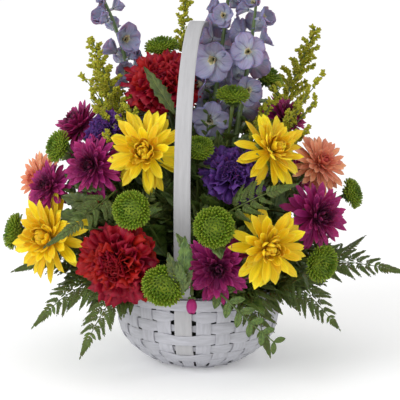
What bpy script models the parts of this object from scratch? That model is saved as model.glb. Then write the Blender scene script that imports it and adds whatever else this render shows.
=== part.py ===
"""White splint basket filled with a round mixed flower arrangement.

The basket is a woven bowl of flat wooden splints with a fixed bow handle. A plastic liner
holds a block of wet foam, and every stem is pushed into the foam so that all of them point
at one place inside it. Metres, +Z up. The origin is the centre of the basket's underside,
-Y is the front of the arrangement.
"""

import math
from collections import namedtuple

import bmesh
import bpy
from mathutils import Vector

# ---------------------------------------------------------------------------------------
# Driving dimensions, in metres
# ---------------------------------------------------------------------------------------
MM = 0.001
GAP = 0.3 * MM                    # clearance between pieces that touch

BOWL_BASE_RADIUS = 47 * MM
BOWL_BELLY_RADIUS = 82 * MM
BOWL_BELLY_HEIGHT = 40 * MM       # where the rounded foot becomes the flared side
BOWL_RIM_RADIUS = 87.5 * MM
BOWL_HEIGHT = 80 * MM
BOWL_WALL = 4.5 * MM              # stakes and weavers together
BOWL_SIDES = 36
SIDE_HEIGHTS = tuple(height * MM for height in (60, 40, 30))   # sections of the bowl and liner
FOOT_HEIGHTS = tuple(height * MM for height in (20, 12, 5, 0))

HOOP_THICKNESS = 2 * MM
HOOP_BOTTOM = 70 * MM
HOOP_TOP = 81.5 * MM

HANDLE_WIDTH = 17 * MM
HANDLE_THICKNESS = 2.4 * MM
HANDLE_TURN = math.radians(-10)   # front foot stands a little left of the front
HANDLE_SINK = 0.5 * MM            # how far a leg lies below the face of the wall
HANDLE_FOOT_HEIGHT = 14 * MM
HANDLE_LEG_HEIGHTS = tuple(height * MM for height in (20, 29, 40, 60, 80))   # bends along the wall
HANDLE_FREE_HEIGHT = 130 * MM     # the leg has left the wall by here
HANDLE_SHOULDER_HEIGHT = 181 * MM
HANDLE_ARCH_STEPS = 8
GROOVE_OPENING = 3.2 * MM         # how much further out than the leg its groove reaches
HANDLE_HEIGHT = 341.7 * MM        # top face of the arch
HANDLE_ARCH_RADIUS = 87 * MM

LINER_INSET = 8 * MM              # liner's outer face, in from the basket's outer face
LINER_WALL = 1.2 * MM
LINER_BOTTOM = BOWL_WALL + GAP
LINER_FOOT_RADIUS = 43 * MM
LINER_TOP = 78 * MM
LINER_FOOT_HEIGHTS = (22 * MM, 14 * MM)

FOAM_FOOT_RADIUS = 41 * MM
FOAM_RADIUS = 56 * MM
FOAM_SHOULDER_HEIGHT = 94 * MM
FOAM_TOP_RADIUS = 44 * MM
FOAM_TOP_HEIGHT = 107 * MM
FOAM_SIDES = 24
FOAM_BELLY_HEIGHT = 32 * MM       # where the block starts to narrow towards its foot

STEM_FOCUS = Vector((0, 0, 60 * MM))   # all the stems point here
STEM_ENDS = (27 * MM, 35 * MM)         # how far from the focus the cut ends stop
STEM_LEAVES_FOAM = 72 * MM             # straight as far as this from the focus
STEM_IN_FOAM_RADIUS = 1.5 * MM
STEM_LOWEST_ANGLE = math.radians(25)   # clears the rim
STEM_LEAST_SPREAD = math.radians(11)   # between neighbouring stems at the focus
STEM_STEPS = 4

# ---------------------------------------------------------------------------------------
# The plants
# Heads are turned profiles on the stem: (distance along the facing direction, radius),
# both as fractions of the head's radius, from the neck to the flat face in front.
# ---------------------------------------------------------------------------------------
HEAD_PROFILES = {
    "mum": ((-0.60, 0.07), (-0.52, 0.20), (-0.30, 0.62), (-0.02, 0.96), (0.10, 0.90), (0.24, 0.56)),
    "carnation": ((-1.00, 0.08), (-0.88, 0.17), (-0.52, 0.20), (-0.34, 0.58), (-0.04, 0.95),
                  (0.18, 0.92), (0.38, 0.56)),
    "button": ((-0.52, 0.12), (-0.42, 0.45), (-0.10, 0.94), (0.14, 0.97), (0.38, 0.80), (0.52, 0.56)),
    "bud": ((-1.30, 0.25), (-0.90, 0.70), (0.00, 1.00), (0.90, 0.60)),
}

# Spikes and plumes are turned along the stalk itself: (part of the stalk's free length,
# radius as a fraction of the plume's radius).
SPIKE_PROFILES = {
    "delphinium": ((0.42, 0.10), (0.48, 0.75), (0.60, 1.00), (0.76, 0.85), (0.90, 0.55), (1.00, 0.25)),
    "goldenrod": ((0.34, 0.12), (0.42, 0.80), (0.60, 1.00), (0.80, 0.62), (1.00, 0.24)),
}

# Fronds and leaves are flat blades: (part of the free length, half width as a fraction of
# the blade's half width).
BLADE_PROFILES = {
    "fern": ((0.20, 0.04), (0.34, 0.10), (0.42, 0.60), (0.55, 1.00), (0.70, 0.80), (0.86, 0.42),
             (1.00, 0.08)),
    "leaf": ((0.20, 0.05), (0.36, 0.10), (0.50, 0.75), (0.68, 1.00), (0.86, 0.65), (1.00, 0.10)),
}
BLADE_THICKNESS = 3 * MM
BLADE_STALK_RADIUS = 1.2 * MM

# kind: (colour, roughness)
COLOURS = {
    "yellow_mum": ((0.78, 0.50, 0.02), 0.55),
    "red_carnation": ((0.38, 0.005, 0.02), 0.6),
    "magenta_mum": ((0.20, 0.01, 0.12), 0.6),
    "magenta_bud": ((0.22, 0.01, 0.10), 0.6),
    "violet_carnation": ((0.09, 0.02, 0.28), 0.6),
    "peach_mum": ((0.80, 0.26, 0.16), 0.6),
    "green_button_mum": ((0.20, 0.38, 0.03), 0.6),
    "delphinium": ((0.42, 0.40, 0.66), 0.55),
    "goldenrod": ((0.40, 0.36, 0.05), 0.7),
    "fern_frond": ((0.08, 0.17, 0.04), 0.5),
    "broad_leaf": ((0.05, 0.13, 0.05), 0.45),
}

# One flower: where the middle of its head is (x, y, z in millimetres), the way it faces
# (bearing from the front towards +X, tilt above level, in degrees) and its radius.
Flower = namedtuple("Flower", "kind label place bearing tilt radius")
FLOWERS = (
    Flower("yellow_mum", "upper_left", (-51, -66, 223), -10, 15, 39),
    Flower("yellow_mum", "upper_right", (74, -68, 226), 40, 30, 35),
    Flower("yellow_mum", "low_right", (68, -108, 137), 15, 5, 37),
    Flower("yellow_mum", "left", (-148, -58, 137), -35, 15, 40),
    Flower("yellow_mum", "back", (46, 110, 160), 162, 18, 38),
    Flower("red_carnation", "low_left", (-78, -94, 118), -22, -2, 36),
    Flower("red_carnation", "top", (-38, 5, 281), -15, 40, 33),
    Flower("red_carnation", "back", (-82, 98, 158), -140, 15, 35),
    Flower("magenta_mum", "low_front", (19, -103, 117), 0, 0, 28),
    Flower("magenta_mum", "right", (117, -62, 159), 35, 8, 31),
    Flower("magenta_mum", "upper_right", (89, 12, 244), 60, 40, 24),
    Flower("magenta_mum", "left", (-147, -27, 181), -38, 25, 25),
    Flower("magenta_mum", "upper_left", (-103, -43, 205), -28, 10, 30),
    Flower("magenta_mum", "top_left", (-120, 15, 236), -75, 52, 29),
    Flower("magenta_mum", "back", (105, 72, 170), 128, 20, 30),
    Flower("magenta_bud", "front", (-6, -121, 87), -1, -60, 7),
    Flower("violet_carnation", "front", (35, -66, 204), 5, 48, 28),
    Flower("violet_carnation", "left", (-93, -22, 238), -45, 35, 19),
    Flower("peach_mum", "right", (122, -24, 205), 38, 32, 28),
    Flower("peach_mum", "left", (-162, 11, 181), -55, 15, 26),
    Flower("peach_mum", "back", (-30, 92, 225), -165, 40, 26),
    Flower("green_button_mum", "front_left", (-62, -104, 174), -15, 10, 18),
    Flower("green_button_mum", "low_front", (-32, -115, 104), -5, -5, 20),
    Flower("green_button_mum", "front", (15, -112, 159), 5, 12, 19),
    Flower("green_button_mum", "upper_front", (1, -60, 225), 5, 25, 14),
    Flower("green_button_mum", "left", (-136, -17, 219), -60, 20, 16),
    Flower("green_button_mum", "far_left", (-182, 0, 129), -80, 15, 18),
    Flower("green_button_mum", "top_left", (-36, 45, 308), -30, 60, 17),
    Flower("green_button_mum", "top", (34, -25, 269), 20, 80, 16),
    Flower("green_button_mum", "top_right", (70, 44, 278), 70, 50, 16),
    Flower("green_button_mum", "right", (151, -15, 171), 70, 20, 15),
    Flower("green_button_mum", "low_right", (118, -74, 115), 40, -5, 18),
    Flower("green_button_mum", "back_left", (-30, 128, 130), -165, 5, 19),
    Flower("green_button_mum", "back_right", (36, 92, 226), 160, 40, 17),
)

# One spike or plume: where its tip is, the way the tip points, and its radius.
Spike = namedtuple("Spike", "kind label tip bearing tilt radius")
SPIKES = (
    Spike("delphinium", "left", (-115, 50, 400), -80, 60, 15),
    Spike("delphinium", "centre", (35, 14, 420), 60, 86, 12),
    Spike("delphinium", "right", (61, 4, 396), 50, 84, 14),
    Spike("goldenrod", "left", (-104, 18, 318), -80, 70, 14),
    Spike("goldenrod", "centre", (-10, 66, 376), 90, 76, 8),
    Spike("goldenrod", "right", (120, 76, 324), 70, 65, 15),
    Spike("goldenrod", "back", (-106, 108, 284), -140, 55, 14),
)

# One frond or leaf: where its tip is, the way the tip points, and the blade's half width.
Frond = namedtuple("Frond", "kind label tip bearing tilt half_width")
FRONDS = (
    Frond("fern_frond", "far_left", (-182, -25, 95), -75, -25, 20),
    Frond("fern_frond", "low_left", (-160, -66, 50), -60, -50, 22),
    Frond("fern_frond", "front_left", (-112, -104, 31), -45, -60, 20),
    Frond("fern_frond", "front", (68, -114, 36), 30, -60, 20),
    Frond("fern_frond", "low_right", (138, -58, 45), 60, -45, 22),
    Frond("fern_frond", "far_right", (206, -28, 94), 80, -12, 20),
    Frond("fern_frond", "back_right", (128, 112, 70), 130, -35, 24),
    Frond("fern_frond", "back", (10, 170, 62), 178, -40, 24),
    Frond("fern_frond", "back_left", (-132, 118, 72), -132, -35, 24),
    Frond("broad_leaf", "left", (-106, -86, 160), -45, 10, 12),
)


# ---------------------------------------------------------------------------------------
# Tools
# ---------------------------------------------------------------------------------------
def clear_scene():
    """Remove every object that the file opens with."""
    for obj in list(bpy.data.objects):
        bpy.data.objects.remove(obj, do_unlink=True)


def new_collection(name):
    """A collection of the given name in the scene."""
    collection = bpy.data.collections.new(name)
    bpy.context.scene.collection.children.link(collection)
    return collection


def principled(name, colour, roughness):
    """A plain Principled material."""
    material = bpy.data.materials.new(name)
    material.use_nodes = True
    shader = material.node_tree.nodes["Principled BSDF"]
    shader.inputs["Base Color"].default_value = (*colour, 1)
    shader.inputs["Roughness"].default_value = roughness
    shader.inputs["Metallic"].default_value = 0.0
    return material


def add_object(name, data, collection, material=None):
    """Link a named object, with its material, into a collection."""
    obj = bpy.data.objects.new(name, data)
    collection.objects.link(obj)
    if material:
        data.materials.append(material)
    return obj


def as_cutter(obj):
    """Mark an object as a tool for Boolean cuts."""
    obj.hide_render = True
    obj.display_type = "WIRE"
    return obj


def turned(name, profile, closed, sides, collection, material):
    """A body of revolution about Z from (radius, height) points running down its outer side."""
    shape = bmesh.new()
    points = [shape.verts.new((radius, 0, height)) for radius, height in profile]
    for first, second in zip(points, points[1:]):
        shape.edges.new((first, second))
    if closed:
        shape.edges.new((points[-1], points[0]))
    mesh = bpy.data.meshes.new(name)
    shape.to_mesh(mesh)
    shape.free()
    obj = add_object(name, mesh, collection, material)
    screw = obj.modifiers.new("turn", "SCREW")
    screw.steps = sides
    screw.render_steps = sides
    screw.use_merge_vertices = True
    screw.merge_threshold = 0.00005
    return obj


def tube(name, points, radii, sides, collection, material=None):
    """A round body that follows points, with its own radius at each of them."""
    curve = bpy.data.curves.new(name, "CURVE")
    curve.dimensions = "3D"
    curve.bevel_depth = MM
    curve.bevel_resolution = (sides - 4) // 2
    curve.use_fill_caps = True
    spline = curve.splines.new("POLY")
    spline.points.add(len(points) - 1)
    for control, point, radius in zip(spline.points, points, radii):
        control.co = (*point, 1)
        control.radius = radius / MM
    return add_object(name, curve, collection, material)


def made_mesh(obj, collection):
    """Replace a curve object by the mesh it makes, with its loose caps welded."""
    graph = bpy.context.evaluated_depsgraph_get()
    mesh = bpy.data.meshes.new_from_object(obj.evaluated_get(graph))
    shape = bmesh.new()
    shape.from_mesh(mesh)
    bmesh.ops.remove_doubles(shape, verts=shape.verts, dist=0.00001)
    shape.to_mesh(mesh)
    shape.free()
    name, place = obj.name, obj.matrix_world.copy()
    bpy.data.objects.remove(obj, do_unlink=True)
    solid = add_object(name, mesh, collection)
    solid.matrix_world = place
    return solid


def cut(obj, cutter=None, cutters=None):
    """Take a cutter, or a whole collection of them, away from an object."""
    boolean = obj.modifiers.new("cut", "BOOLEAN")
    boolean.operation = "DIFFERENCE"
    boolean.solver = "EXACT"
    if cutters:
        boolean.operand_type = "COLLECTION"
        boolean.collection = cutters
    else:
        boolean.object = cutter


# ---------------------------------------------------------------------------------------
# The basket
# ---------------------------------------------------------------------------------------
def bowl_radius(height):
    """Outer radius of the bowl: a rounded foot, then a straight flared side."""
    if height < BOWL_BELLY_HEIGHT:
        left = 1 - height / BOWL_BELLY_HEIGHT
        return BOWL_BASE_RADIUS + (BOWL_BELLY_RADIUS - BOWL_BASE_RADIUS) * (1 - left * left)
    part = (height - BOWL_BELLY_HEIGHT) / (BOWL_HEIGHT - BOWL_BELLY_HEIGHT)
    return BOWL_BELLY_RADIUS + (BOWL_RIM_RADIUS - BOWL_BELLY_RADIUS) * part


def bowl_outward(height):
    """Unit (radial, vertical) vector out of the bowl's face at a height."""
    step = 0.5 * MM
    slope = (bowl_radius(height + step) - bowl_radius(height - step)) / (2 * step)
    length = math.hypot(1, slope)
    return 1 / length, -slope / length


def make_bowl(collection, material):
    """The woven bowl as one open shell, base and side together."""
    heights = (BOWL_HEIGHT, *SIDE_HEIGHTS, *FOOT_HEIGHTS)
    profile = [(bowl_radius(height), height) for height in heights]
    profile.append((0, 0))
    bowl = turned("basket_bowl", profile, False, BOWL_SIDES, collection, material)
    wall = bowl.modifiers.new("wall", "SOLIDIFY")
    wall.thickness = BOWL_WALL
    wall.offset = -1
    wall.use_even_offset = True
    return bowl


def make_hoop(name, inner_inset, collection, material):
    """A flat hoop that follows the flare of the rim."""
    outer_inset = inner_inset - HOOP_THICKNESS
    profile = [
        (bowl_radius(HOOP_TOP) - outer_inset, HOOP_TOP),
        (bowl_radius(HOOP_BOTTOM) - outer_inset, HOOP_BOTTOM),
        (bowl_radius(HOOP_BOTTOM) - inner_inset, HOOP_BOTTOM),
        (bowl_radius(HOOP_TOP) - inner_inset, HOOP_TOP),
    ]
    return turned(name, profile, True, BOWL_SIDES, collection, material)


def handle_half(depth):
    """Front half of the bow from foot to top, as (reach, height), depth below the wall's face."""
    points = []
    for height in (HANDLE_FOOT_HEIGHT, *HANDLE_LEG_HEIGHTS):
        across, up = bowl_outward(height)
        points.append((bowl_radius(height) - depth * across, height - depth * up))
    points.append((HANDLE_ARCH_RADIUS - HANDLE_THICKNESS / 4, HANDLE_FREE_HEIGHT))
    rise = HANDLE_HEIGHT - HANDLE_THICKNESS / 2 - HANDLE_SHOULDER_HEIGHT
    for step in range(HANDLE_ARCH_STEPS + 1):
        angle = math.pi / 2 * step / HANDLE_ARCH_STEPS
        points.append((HANDLE_ARCH_RADIUS * math.cos(angle),
                       HANDLE_SHOULDER_HEIGHT + rise * math.sin(angle)))
    return points


def make_handle(name, depth, thickness, width, collection, material=None):
    """A flat splint bent into a bow over the basket."""
    front = handle_half(depth)
    path = [(-reach, height) for reach, height in front]
    path += [(reach, height) for reach, height in reversed(front[:-1])]
    curve = bpy.data.curves.new(name, "CURVE")
    curve.dimensions = "2D"
    curve.bevel_depth = thickness / 2
    curve.bevel_resolution = 0
    curve.extrude = (width - thickness) / 2
    curve.use_fill_caps = True
    spline = curve.splines.new("POLY")
    spline.points.add(len(path) - 1)
    for control, (reach, height) in zip(spline.points, path):
        control.co = (reach, height, 0, 1)
    handle = add_object(name, curve, collection, material)
    handle.rotation_euler = (math.pi / 2, 0, math.pi / 2 + HANDLE_TURN)
    return handle


def make_liner(collection, material):
    """The thin plastic bowl that keeps the water in."""
    heights = (LINER_TOP, *SIDE_HEIGHTS, *LINER_FOOT_HEIGHTS)
    profile = [(bowl_radius(height) - LINER_INSET, height) for height in heights]
    profile += [(LINER_FOOT_RADIUS, LINER_BOTTOM), (0, LINER_BOTTOM)]
    liner = turned("liner", profile, False, BOWL_SIDES, collection, material)
    wall = liner.modifiers.new("wall", "SOLIDIFY")
    wall.thickness = LINER_WALL
    wall.offset = -1
    wall.use_even_offset = True
    return liner


def make_foam(collection, material, stem_cutters):
    """The block of wet foam, with a hole for each stem."""
    foot = LINER_BOTTOM + LINER_WALL + GAP
    profile = [
        (0, FOAM_TOP_HEIGHT),
        (FOAM_TOP_RADIUS, FOAM_TOP_HEIGHT - 2 * MM),
        (FOAM_RADIUS, FOAM_SHOULDER_HEIGHT),
        (FOAM_RADIUS, FOAM_BELLY_HEIGHT),
        (FOAM_FOOT_RADIUS, foot),
        (0, foot),
    ]
    foam = turned("foam", profile, False, FOAM_SIDES, collection, material)
    cut(foam, cutters=stem_cutters)
    return foam


# ---------------------------------------------------------------------------------------
# The plants
# ---------------------------------------------------------------------------------------
def direction(bearing, tilt):
    """Unit vector from a bearing (0 is -Y, 90 is +X) and a tilt above level, in degrees."""
    turn, rise = math.radians(bearing), math.radians(tilt)
    return Vector((math.sin(turn) * math.cos(rise), -math.cos(turn) * math.cos(rise), math.sin(rise)))


def lifted(aim):
    """The same direction, raised where needed to clear the basket's rim."""
    if math.asin(aim.z) >= STEM_LOWEST_ANGLE:
        return aim
    level = Vector((aim.x, aim.y, 0)).normalized()
    return level * math.cos(STEM_LOWEST_ANGLE) + Vector((0, 0, math.sin(STEM_LOWEST_ANGLE)))


def spread_stems(targets):
    """Directions from the focus towards the targets, eased apart until none are crowded."""
    aims = [lifted((target - STEM_FOCUS).normalized()) for target in targets]
    for _ in range(200):
        moves = [Vector() for _ in aims]
        crowded = False
        for i, one in enumerate(aims):
            for j in range(i):
                apart = one.angle(aims[j])
                if apart < STEM_LEAST_SPREAD:
                    push = (one - aims[j]).normalized() * (STEM_LEAST_SPREAD - apart) * 0.3
                    moves[i] += push
                    moves[j] -= push
                    crowded = True
        if not crowded:
            break
        aims = [lifted((aim + move).normalized()) for aim, move in zip(aims, moves)]
    return aims


def stem_route(aim, end, end_direction, index):
    """Points of a stem from its cut end in the foam to its end point."""
    start = STEM_FOCUS + aim * STEM_LEAVES_FOAM
    reach = (end - start).length
    points = [STEM_FOCUS + aim * STEM_ENDS[index % len(STEM_ENDS)], start]
    for step in range(1, STEM_STEPS + 1):
        t = step / STEM_STEPS
        points.append(start * (2 * t**3 - 3 * t**2 + 1) + aim * reach * (t**3 - 2 * t**2 + t)
                      + end * (3 * t**2 - 2 * t**3) + end_direction * reach * (t**3 - t**2))
    return points


def make_flower(flower, aim, index, collection, material):
    """A flower with its stem: one grown piece."""
    family = "bud" if "bud" in flower.kind else flower.kind.split("_")[-1]
    if "button" in flower.kind:
        family = "button"
    profile = HEAD_PROFILES[family]
    radius = flower.radius * MM
    facing = direction(flower.bearing, flower.tilt)
    middle = Vector(flower.place) * MM
    neck = middle + facing * profile[0][0] * radius
    points = stem_route(aim, neck, facing, index)
    radii = [STEM_IN_FOAM_RADIUS] * (len(points) - 1) + [profile[0][1] * radius]
    for along, across in profile[1:]:
        points.append(middle + facing * along * radius)
        radii.append(across * radius)
    name = f"{flower.kind}_{flower.label}"
    return tube(name, points, radii, 10, collection, material)


def along_route(points, part):
    """The point a given part of the way along the free stretch of a route."""
    free = points[1:]
    place = part * (len(free) - 1)
    low = min(int(place), len(free) - 2)
    return free[low].lerp(free[low + 1], place - low)


def make_spike(spike, aim, index, collection, material):
    """A stalk with its flowers all along the upper part: one grown piece."""
    tip = Vector(spike.tip) * MM
    route = stem_route(aim, tip, direction(spike.bearing, spike.tilt), index)
    points = route[:2]
    radii = [STEM_IN_FOAM_RADIUS] * 2
    for part, across in SPIKE_PROFILES[spike.kind]:
        points.append(along_route(route, part))
        radii.append(across * spike.radius * MM)
    return tube(f"{spike.kind}_{spike.label}", points, radii, 10, collection, material)


def make_frond(frond, aim, index, collection, material):
    """A flat blade on a thin stalk: one grown piece, lofted through rectangular sections."""
    tip = Vector(frond.tip) * MM
    route = stem_route(aim, tip, direction(frond.bearing, frond.tilt), index)
    profile = BLADE_PROFILES["fern" if frond.kind == "fern_frond" else "leaf"]
    points = route[:2] + [along_route(route, part) for part, _ in profile]
    half_widths = [BLADE_STALK_RADIUS] * 2
    half_widths += [max(across * frond.half_width * MM, BLADE_STALK_RADIUS) for _, across in profile]
    side = Vector((0, 0, 1)).cross(tip - STEM_FOCUS).normalized()
    shape = bmesh.new()
    rings = []
    for place, (point, half_width) in enumerate(zip(points, half_widths)):
        before = points[max(place - 1, 0)]
        after = points[min(place + 1, len(points) - 1)]
        up = (after - before).normalized().cross(side).normalized()
        half_thick = min(BLADE_THICKNESS / 2, half_width)
        corners = ((-1, -1), (1, -1), (1, 1), (-1, 1))
        rings.append([shape.verts.new(point + side * half_width * across + up * half_thick * over)
                      for across, over in corners])
    for ring, following in zip(rings, rings[1:]):
        for corner in range(4):
            beside = (corner + 1) % 4
            shape.faces.new((ring[corner], ring[beside], following[beside], following[corner]))
    shape.faces.new(rings[0])
    shape.faces.new(rings[-1])
    bmesh.ops.recalc_face_normals(shape, faces=shape.faces)
    name = f"{frond.kind}_{frond.label}"
    mesh = bpy.data.meshes.new(name)
    shape.to_mesh(mesh)
    shape.free()
    return add_object(name, mesh, collection, material)


# ---------------------------------------------------------------------------------------
# The whole arrangement
# ---------------------------------------------------------------------------------------
def main():
    clear_scene()
    arrangement = new_collection("flower_basket_arrangement")
    cutters = new_collection("cutters")
    stem_cutters = new_collection("stem_cutters")

    white_paint = principled("white_painted_splint", (0.72, 0.72, 0.73), 0.6)
    handle_depth = HANDLE_SINK + HANDLE_THICKNESS / 2
    make_handle("handle", handle_depth, HANDLE_THICKNESS, HANDLE_WIDTH, arrangement, white_paint)
    bowl = make_bowl(arrangement, white_paint)
    groove_thickness = HANDLE_THICKNESS + GROOVE_OPENING
    groove_depth = HANDLE_SINK + HANDLE_THICKNESS + 2 * GAP - groove_thickness / 2
    groove = make_handle("handle_groove", groove_depth, groove_thickness,
                         HANDLE_WIDTH + 2 * GAP, cutters)
    groove.data.extrude += groove_thickness / 2
    cut(bowl, as_cutter(made_mesh(groove, cutters)))
    make_hoop("rim_outer_hoop", -GAP, arrangement, white_paint)
    make_hoop("rim_inner_hoop", BOWL_WALL + GAP + HOOP_THICKNESS, arrangement, white_paint)
    make_liner(arrangement, principled("clear_green_plastic", (0.05, 0.12, 0.07), 0.35))

    plants = FLOWERS + SPIKES + FRONDS
    targets = [Vector(plant.place if isinstance(plant, Flower) else plant.tip) * MM for plant in plants]
    aims = spread_stems(targets)
    materials = {kind: principled(kind, *finish) for kind, finish in COLOURS.items()}
    makers = {Flower: make_flower, Spike: make_spike, Frond: make_frond}
    for index, (plant, aim) in enumerate(zip(plants, aims)):
        makers[type(plant)](plant, aim, index, arrangement, materials[plant.kind])
        end = STEM_ENDS[index % len(STEM_ENDS)] - GAP
        hole = tube(f"hole_{index}", [STEM_FOCUS + aim * end, STEM_FOCUS + aim * (STEM_LEAVES_FOAM + 5 * MM)],
                    [(STEM_IN_FOAM_RADIUS + GAP) / math.cos(math.pi / 6)] * 2, 6, stem_cutters)
        as_cutter(made_mesh(hole, stem_cutters))
    make_foam(arrangement, principled("wet_foam", (0.04, 0.13, 0.06), 0.95), stem_cutters)


main()
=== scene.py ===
"""Flower basket arrangement: the finished look of a white splint basket full of cut flowers.

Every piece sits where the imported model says. A flower's place, facing and size are read from
its own node, and the basket's outline from the nodes of its bowl and handle.
"""

import math
import random

import bmesh
import bpy
import numpy as np
from mathutils import Matrix, Vector
from mathutils.kdtree import KDTree


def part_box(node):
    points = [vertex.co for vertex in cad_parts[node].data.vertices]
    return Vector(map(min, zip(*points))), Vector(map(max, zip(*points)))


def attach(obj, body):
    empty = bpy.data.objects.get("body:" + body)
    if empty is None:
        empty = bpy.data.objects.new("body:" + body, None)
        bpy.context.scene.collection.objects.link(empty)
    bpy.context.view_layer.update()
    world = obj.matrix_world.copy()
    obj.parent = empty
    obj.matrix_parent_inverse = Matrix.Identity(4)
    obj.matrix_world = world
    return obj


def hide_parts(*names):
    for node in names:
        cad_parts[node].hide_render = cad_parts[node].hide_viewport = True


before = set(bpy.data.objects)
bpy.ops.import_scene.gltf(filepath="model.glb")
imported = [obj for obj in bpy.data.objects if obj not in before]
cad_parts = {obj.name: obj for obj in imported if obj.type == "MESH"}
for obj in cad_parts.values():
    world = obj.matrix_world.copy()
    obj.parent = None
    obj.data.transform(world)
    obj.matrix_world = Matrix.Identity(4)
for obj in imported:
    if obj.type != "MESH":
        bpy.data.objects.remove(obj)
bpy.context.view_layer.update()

MM = 0.001

# ---------------------------------------------------------------------------------------
# The studio
# A plain pale floor, a large soft window on the left, a weaker fill on the right and a pale
# sky. The lens is long, so that the basket is not distorted.
# ---------------------------------------------------------------------------------------
CAMERA_TILT = math.radians(12)
CAMERA_DISTANCE = 1.8
CAMERA_TARGET = Vector((0.002, 0, 0.1615))
FIELD_WIDTH = 0.400             # what the lens takes in at that distance
FLOOR_SIZE = 60

scene = bpy.context.scene
scene.view_settings.view_transform = "Standard"

lens = bpy.data.cameras.new("long_lens")
lens.sensor_width = 36
lens.lens = lens.sensor_width * CAMERA_DISTANCE / FIELD_WIDTH
camera = bpy.data.objects.new("camera", lens)
scene.collection.objects.link(camera)
camera_back = Vector((0, -math.cos(CAMERA_TILT), math.sin(CAMERA_TILT)))
camera.location = CAMERA_TARGET + camera_back * CAMERA_DISTANCE
camera.rotation_euler = (-camera_back).to_track_quat("-Z", "Y").to_euler()
scene.camera = camera

sky = bpy.data.worlds.new("pale_sky")
sky.use_nodes = True
sky.node_tree.nodes["Background"].inputs["Color"].default_value = (1.0, 1.0, 1.0, 1)
sky.node_tree.nodes["Background"].inputs["Strength"].default_value = 0.9
scene.world = sky


def soft_light(name, place, aim, size, power, colour):
    """A large square area light at a place, turned towards a point."""
    light = bpy.data.lights.new(name, "AREA")
    light.size = size
    light.energy = power
    light.color = colour
    lamp = bpy.data.objects.new(name, light)
    scene.collection.objects.link(lamp)
    lamp.location = place
    lamp.rotation_euler = (Vector(aim) - Vector(place)).to_track_quat("-Z", "Y").to_euler()


soft_light("window", (-1.5, -1.1, 1.2), (0, 0, 0.2), 1.0, 17, (0.96, 0.98, 1.0))
soft_light("fill", (1.4, -0.9, 0.6), (0, 0, 0.2), 1.2, 0.5, (1.0, 0.97, 0.93))

bpy.ops.mesh.primitive_plane_add(size=FLOOR_SIZE, location=(0, 0, -0.0005))
floor = bpy.context.object
floor.name = "floor"
floor_paint = bpy.data.materials.new("floor_paint")
floor_paint.use_nodes = True
floor_shader = floor_paint.node_tree.nodes["Principled BSDF"]
floor_shader.inputs["Base Color"].default_value = (0.95, 0.95, 0.95, 1)
floor_shader.inputs["Roughness"].default_value = 0.9
floor_shader.inputs["Emission Color"].default_value = (1, 1, 1, 1)
floor_shader.inputs["Emission Strength"].default_value = 0.15
floor.data.materials.append(floor_paint)

# ---------------------------------------------------------------------------------------
# The woven bowl
# A bowl of flat poplar splints, painted white: upright stakes that turn up from the base, and
# flat weavers that go round it, over one stake and under the next, each row the other way.
# ---------------------------------------------------------------------------------------
STAKE_COUNT = 26
STAKE_WIDTH = 14.5 * MM
STAKE_STEPS = 72
WEAVER_WIDTH = 11.8 * MM
WEAVER_PITCH = 12 * MM
WEAVER_PINCH = 3.8 * MM         # how much narrower a weaver is where it goes behind a stake
LEG_PINCH = 1.8 * MM            # and by a leg of the handle, where the rows are forced apart
WEAVER_STEPS = 8                # to each stake
SPLINT_THICKNESS = 1.1 * MM
WEAVE_SWING = 0.85 * MM         # how far a splint swings to each side of the wall's middle
WALL_MIDDLE = 2.6 * MM          # from the outer face of the bowl to the middle of the wall
FRONT_LEG = math.radians(-100)  # where the handle's front leg stands, from +X
LEG_STUB = 24 * MM              # height of the short stake that each leg laps over
LEG_FREE_ROWS = 3               # top rows that all go behind the handle's legs
OVER_LEG, BEHIND_LEG = 3.3, -1.15   # swing of a weaver in front of a leg, and behind it, in WEAVE_SWING
MAT_SPLINTS = 6


def srgb(red, green, blue):
    """A colour given in steps of 0 to 255, as a shader needs it."""
    return tuple((c / 255 / 12.92) if c <= 10 else ((c / 255 + 0.055) / 1.055) ** 2.4
                 for c in (red, green, blue))


def add_node(tree, kind, inputs=None, **settings):
    """A shader node with its settings, and its inputs linked or set."""
    made = tree.nodes.new(kind)
    for key, value in settings.items():
        setattr(made, key, value)
    for key, value in (inputs or {}).items():
        if isinstance(value, bpy.types.NodeSocket):
            tree.links.new(value, made.inputs[key])
        else:
            made.inputs[key].default_value = value
    return made


def ramp(tree, factor, *stops):
    """A colour that follows a value through (position, colour) stops."""
    made = add_node(tree, "ShaderNodeValToRGB", {"Fac": factor})
    elements = made.color_ramp.elements
    while len(elements) < len(stops):
        elements.new(0.5)
    for element, (position, colour) in zip(elements, stops):
        element.position = position
        element.color = (*colour, 1)
    return made.outputs["Color"]


def mixed(tree, factor, one, other, blend="MIX"):
    """Two colours mixed by a value."""
    made = add_node(tree, "ShaderNodeMix", {0: factor, 6: one, 7: other}, data_type="RGBA", blend_type=blend)
    return made.outputs[2]


def reckon(tree, operation, one, other=0.0, third=0.0):
    """The result of a sum on values."""
    made = add_node(tree, "ShaderNodeMath", {0: one, 1: other, 2: third}, operation=operation)
    return made.outputs[0]


def noise(tree, place, scale=1.0, detail=3.0):
    """Soft random patches at a place."""
    made = add_node(tree, "ShaderNodeTexNoise", {"Vector": place, "Scale": scale, "Detail": detail})
    return made.outputs["Fac"]


def stretched(tree, *axes):
    """A place for a pattern, from a (value, scale) pair for each axis."""
    scaled = [reckon(tree, "MULTIPLY", value, scale) for value, scale in axes]
    return add_node(tree, "ShaderNodeCombineXYZ", dict(zip("XYZ", scaled))).outputs[0]


def varied(tree, colour, tint, hue, value):
    """A colour shifted by a tint, with the (slope, start) of its hue and of its value."""
    made = add_node(tree, "ShaderNodeHueSaturation", {
        "Hue": reckon(tree, "MULTIPLY_ADD", tint, *hue), "Value": reckon(tree, "MULTIPLY_ADD", tint, *value),
        "Color": colour})
    return made.outputs[0]


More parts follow.
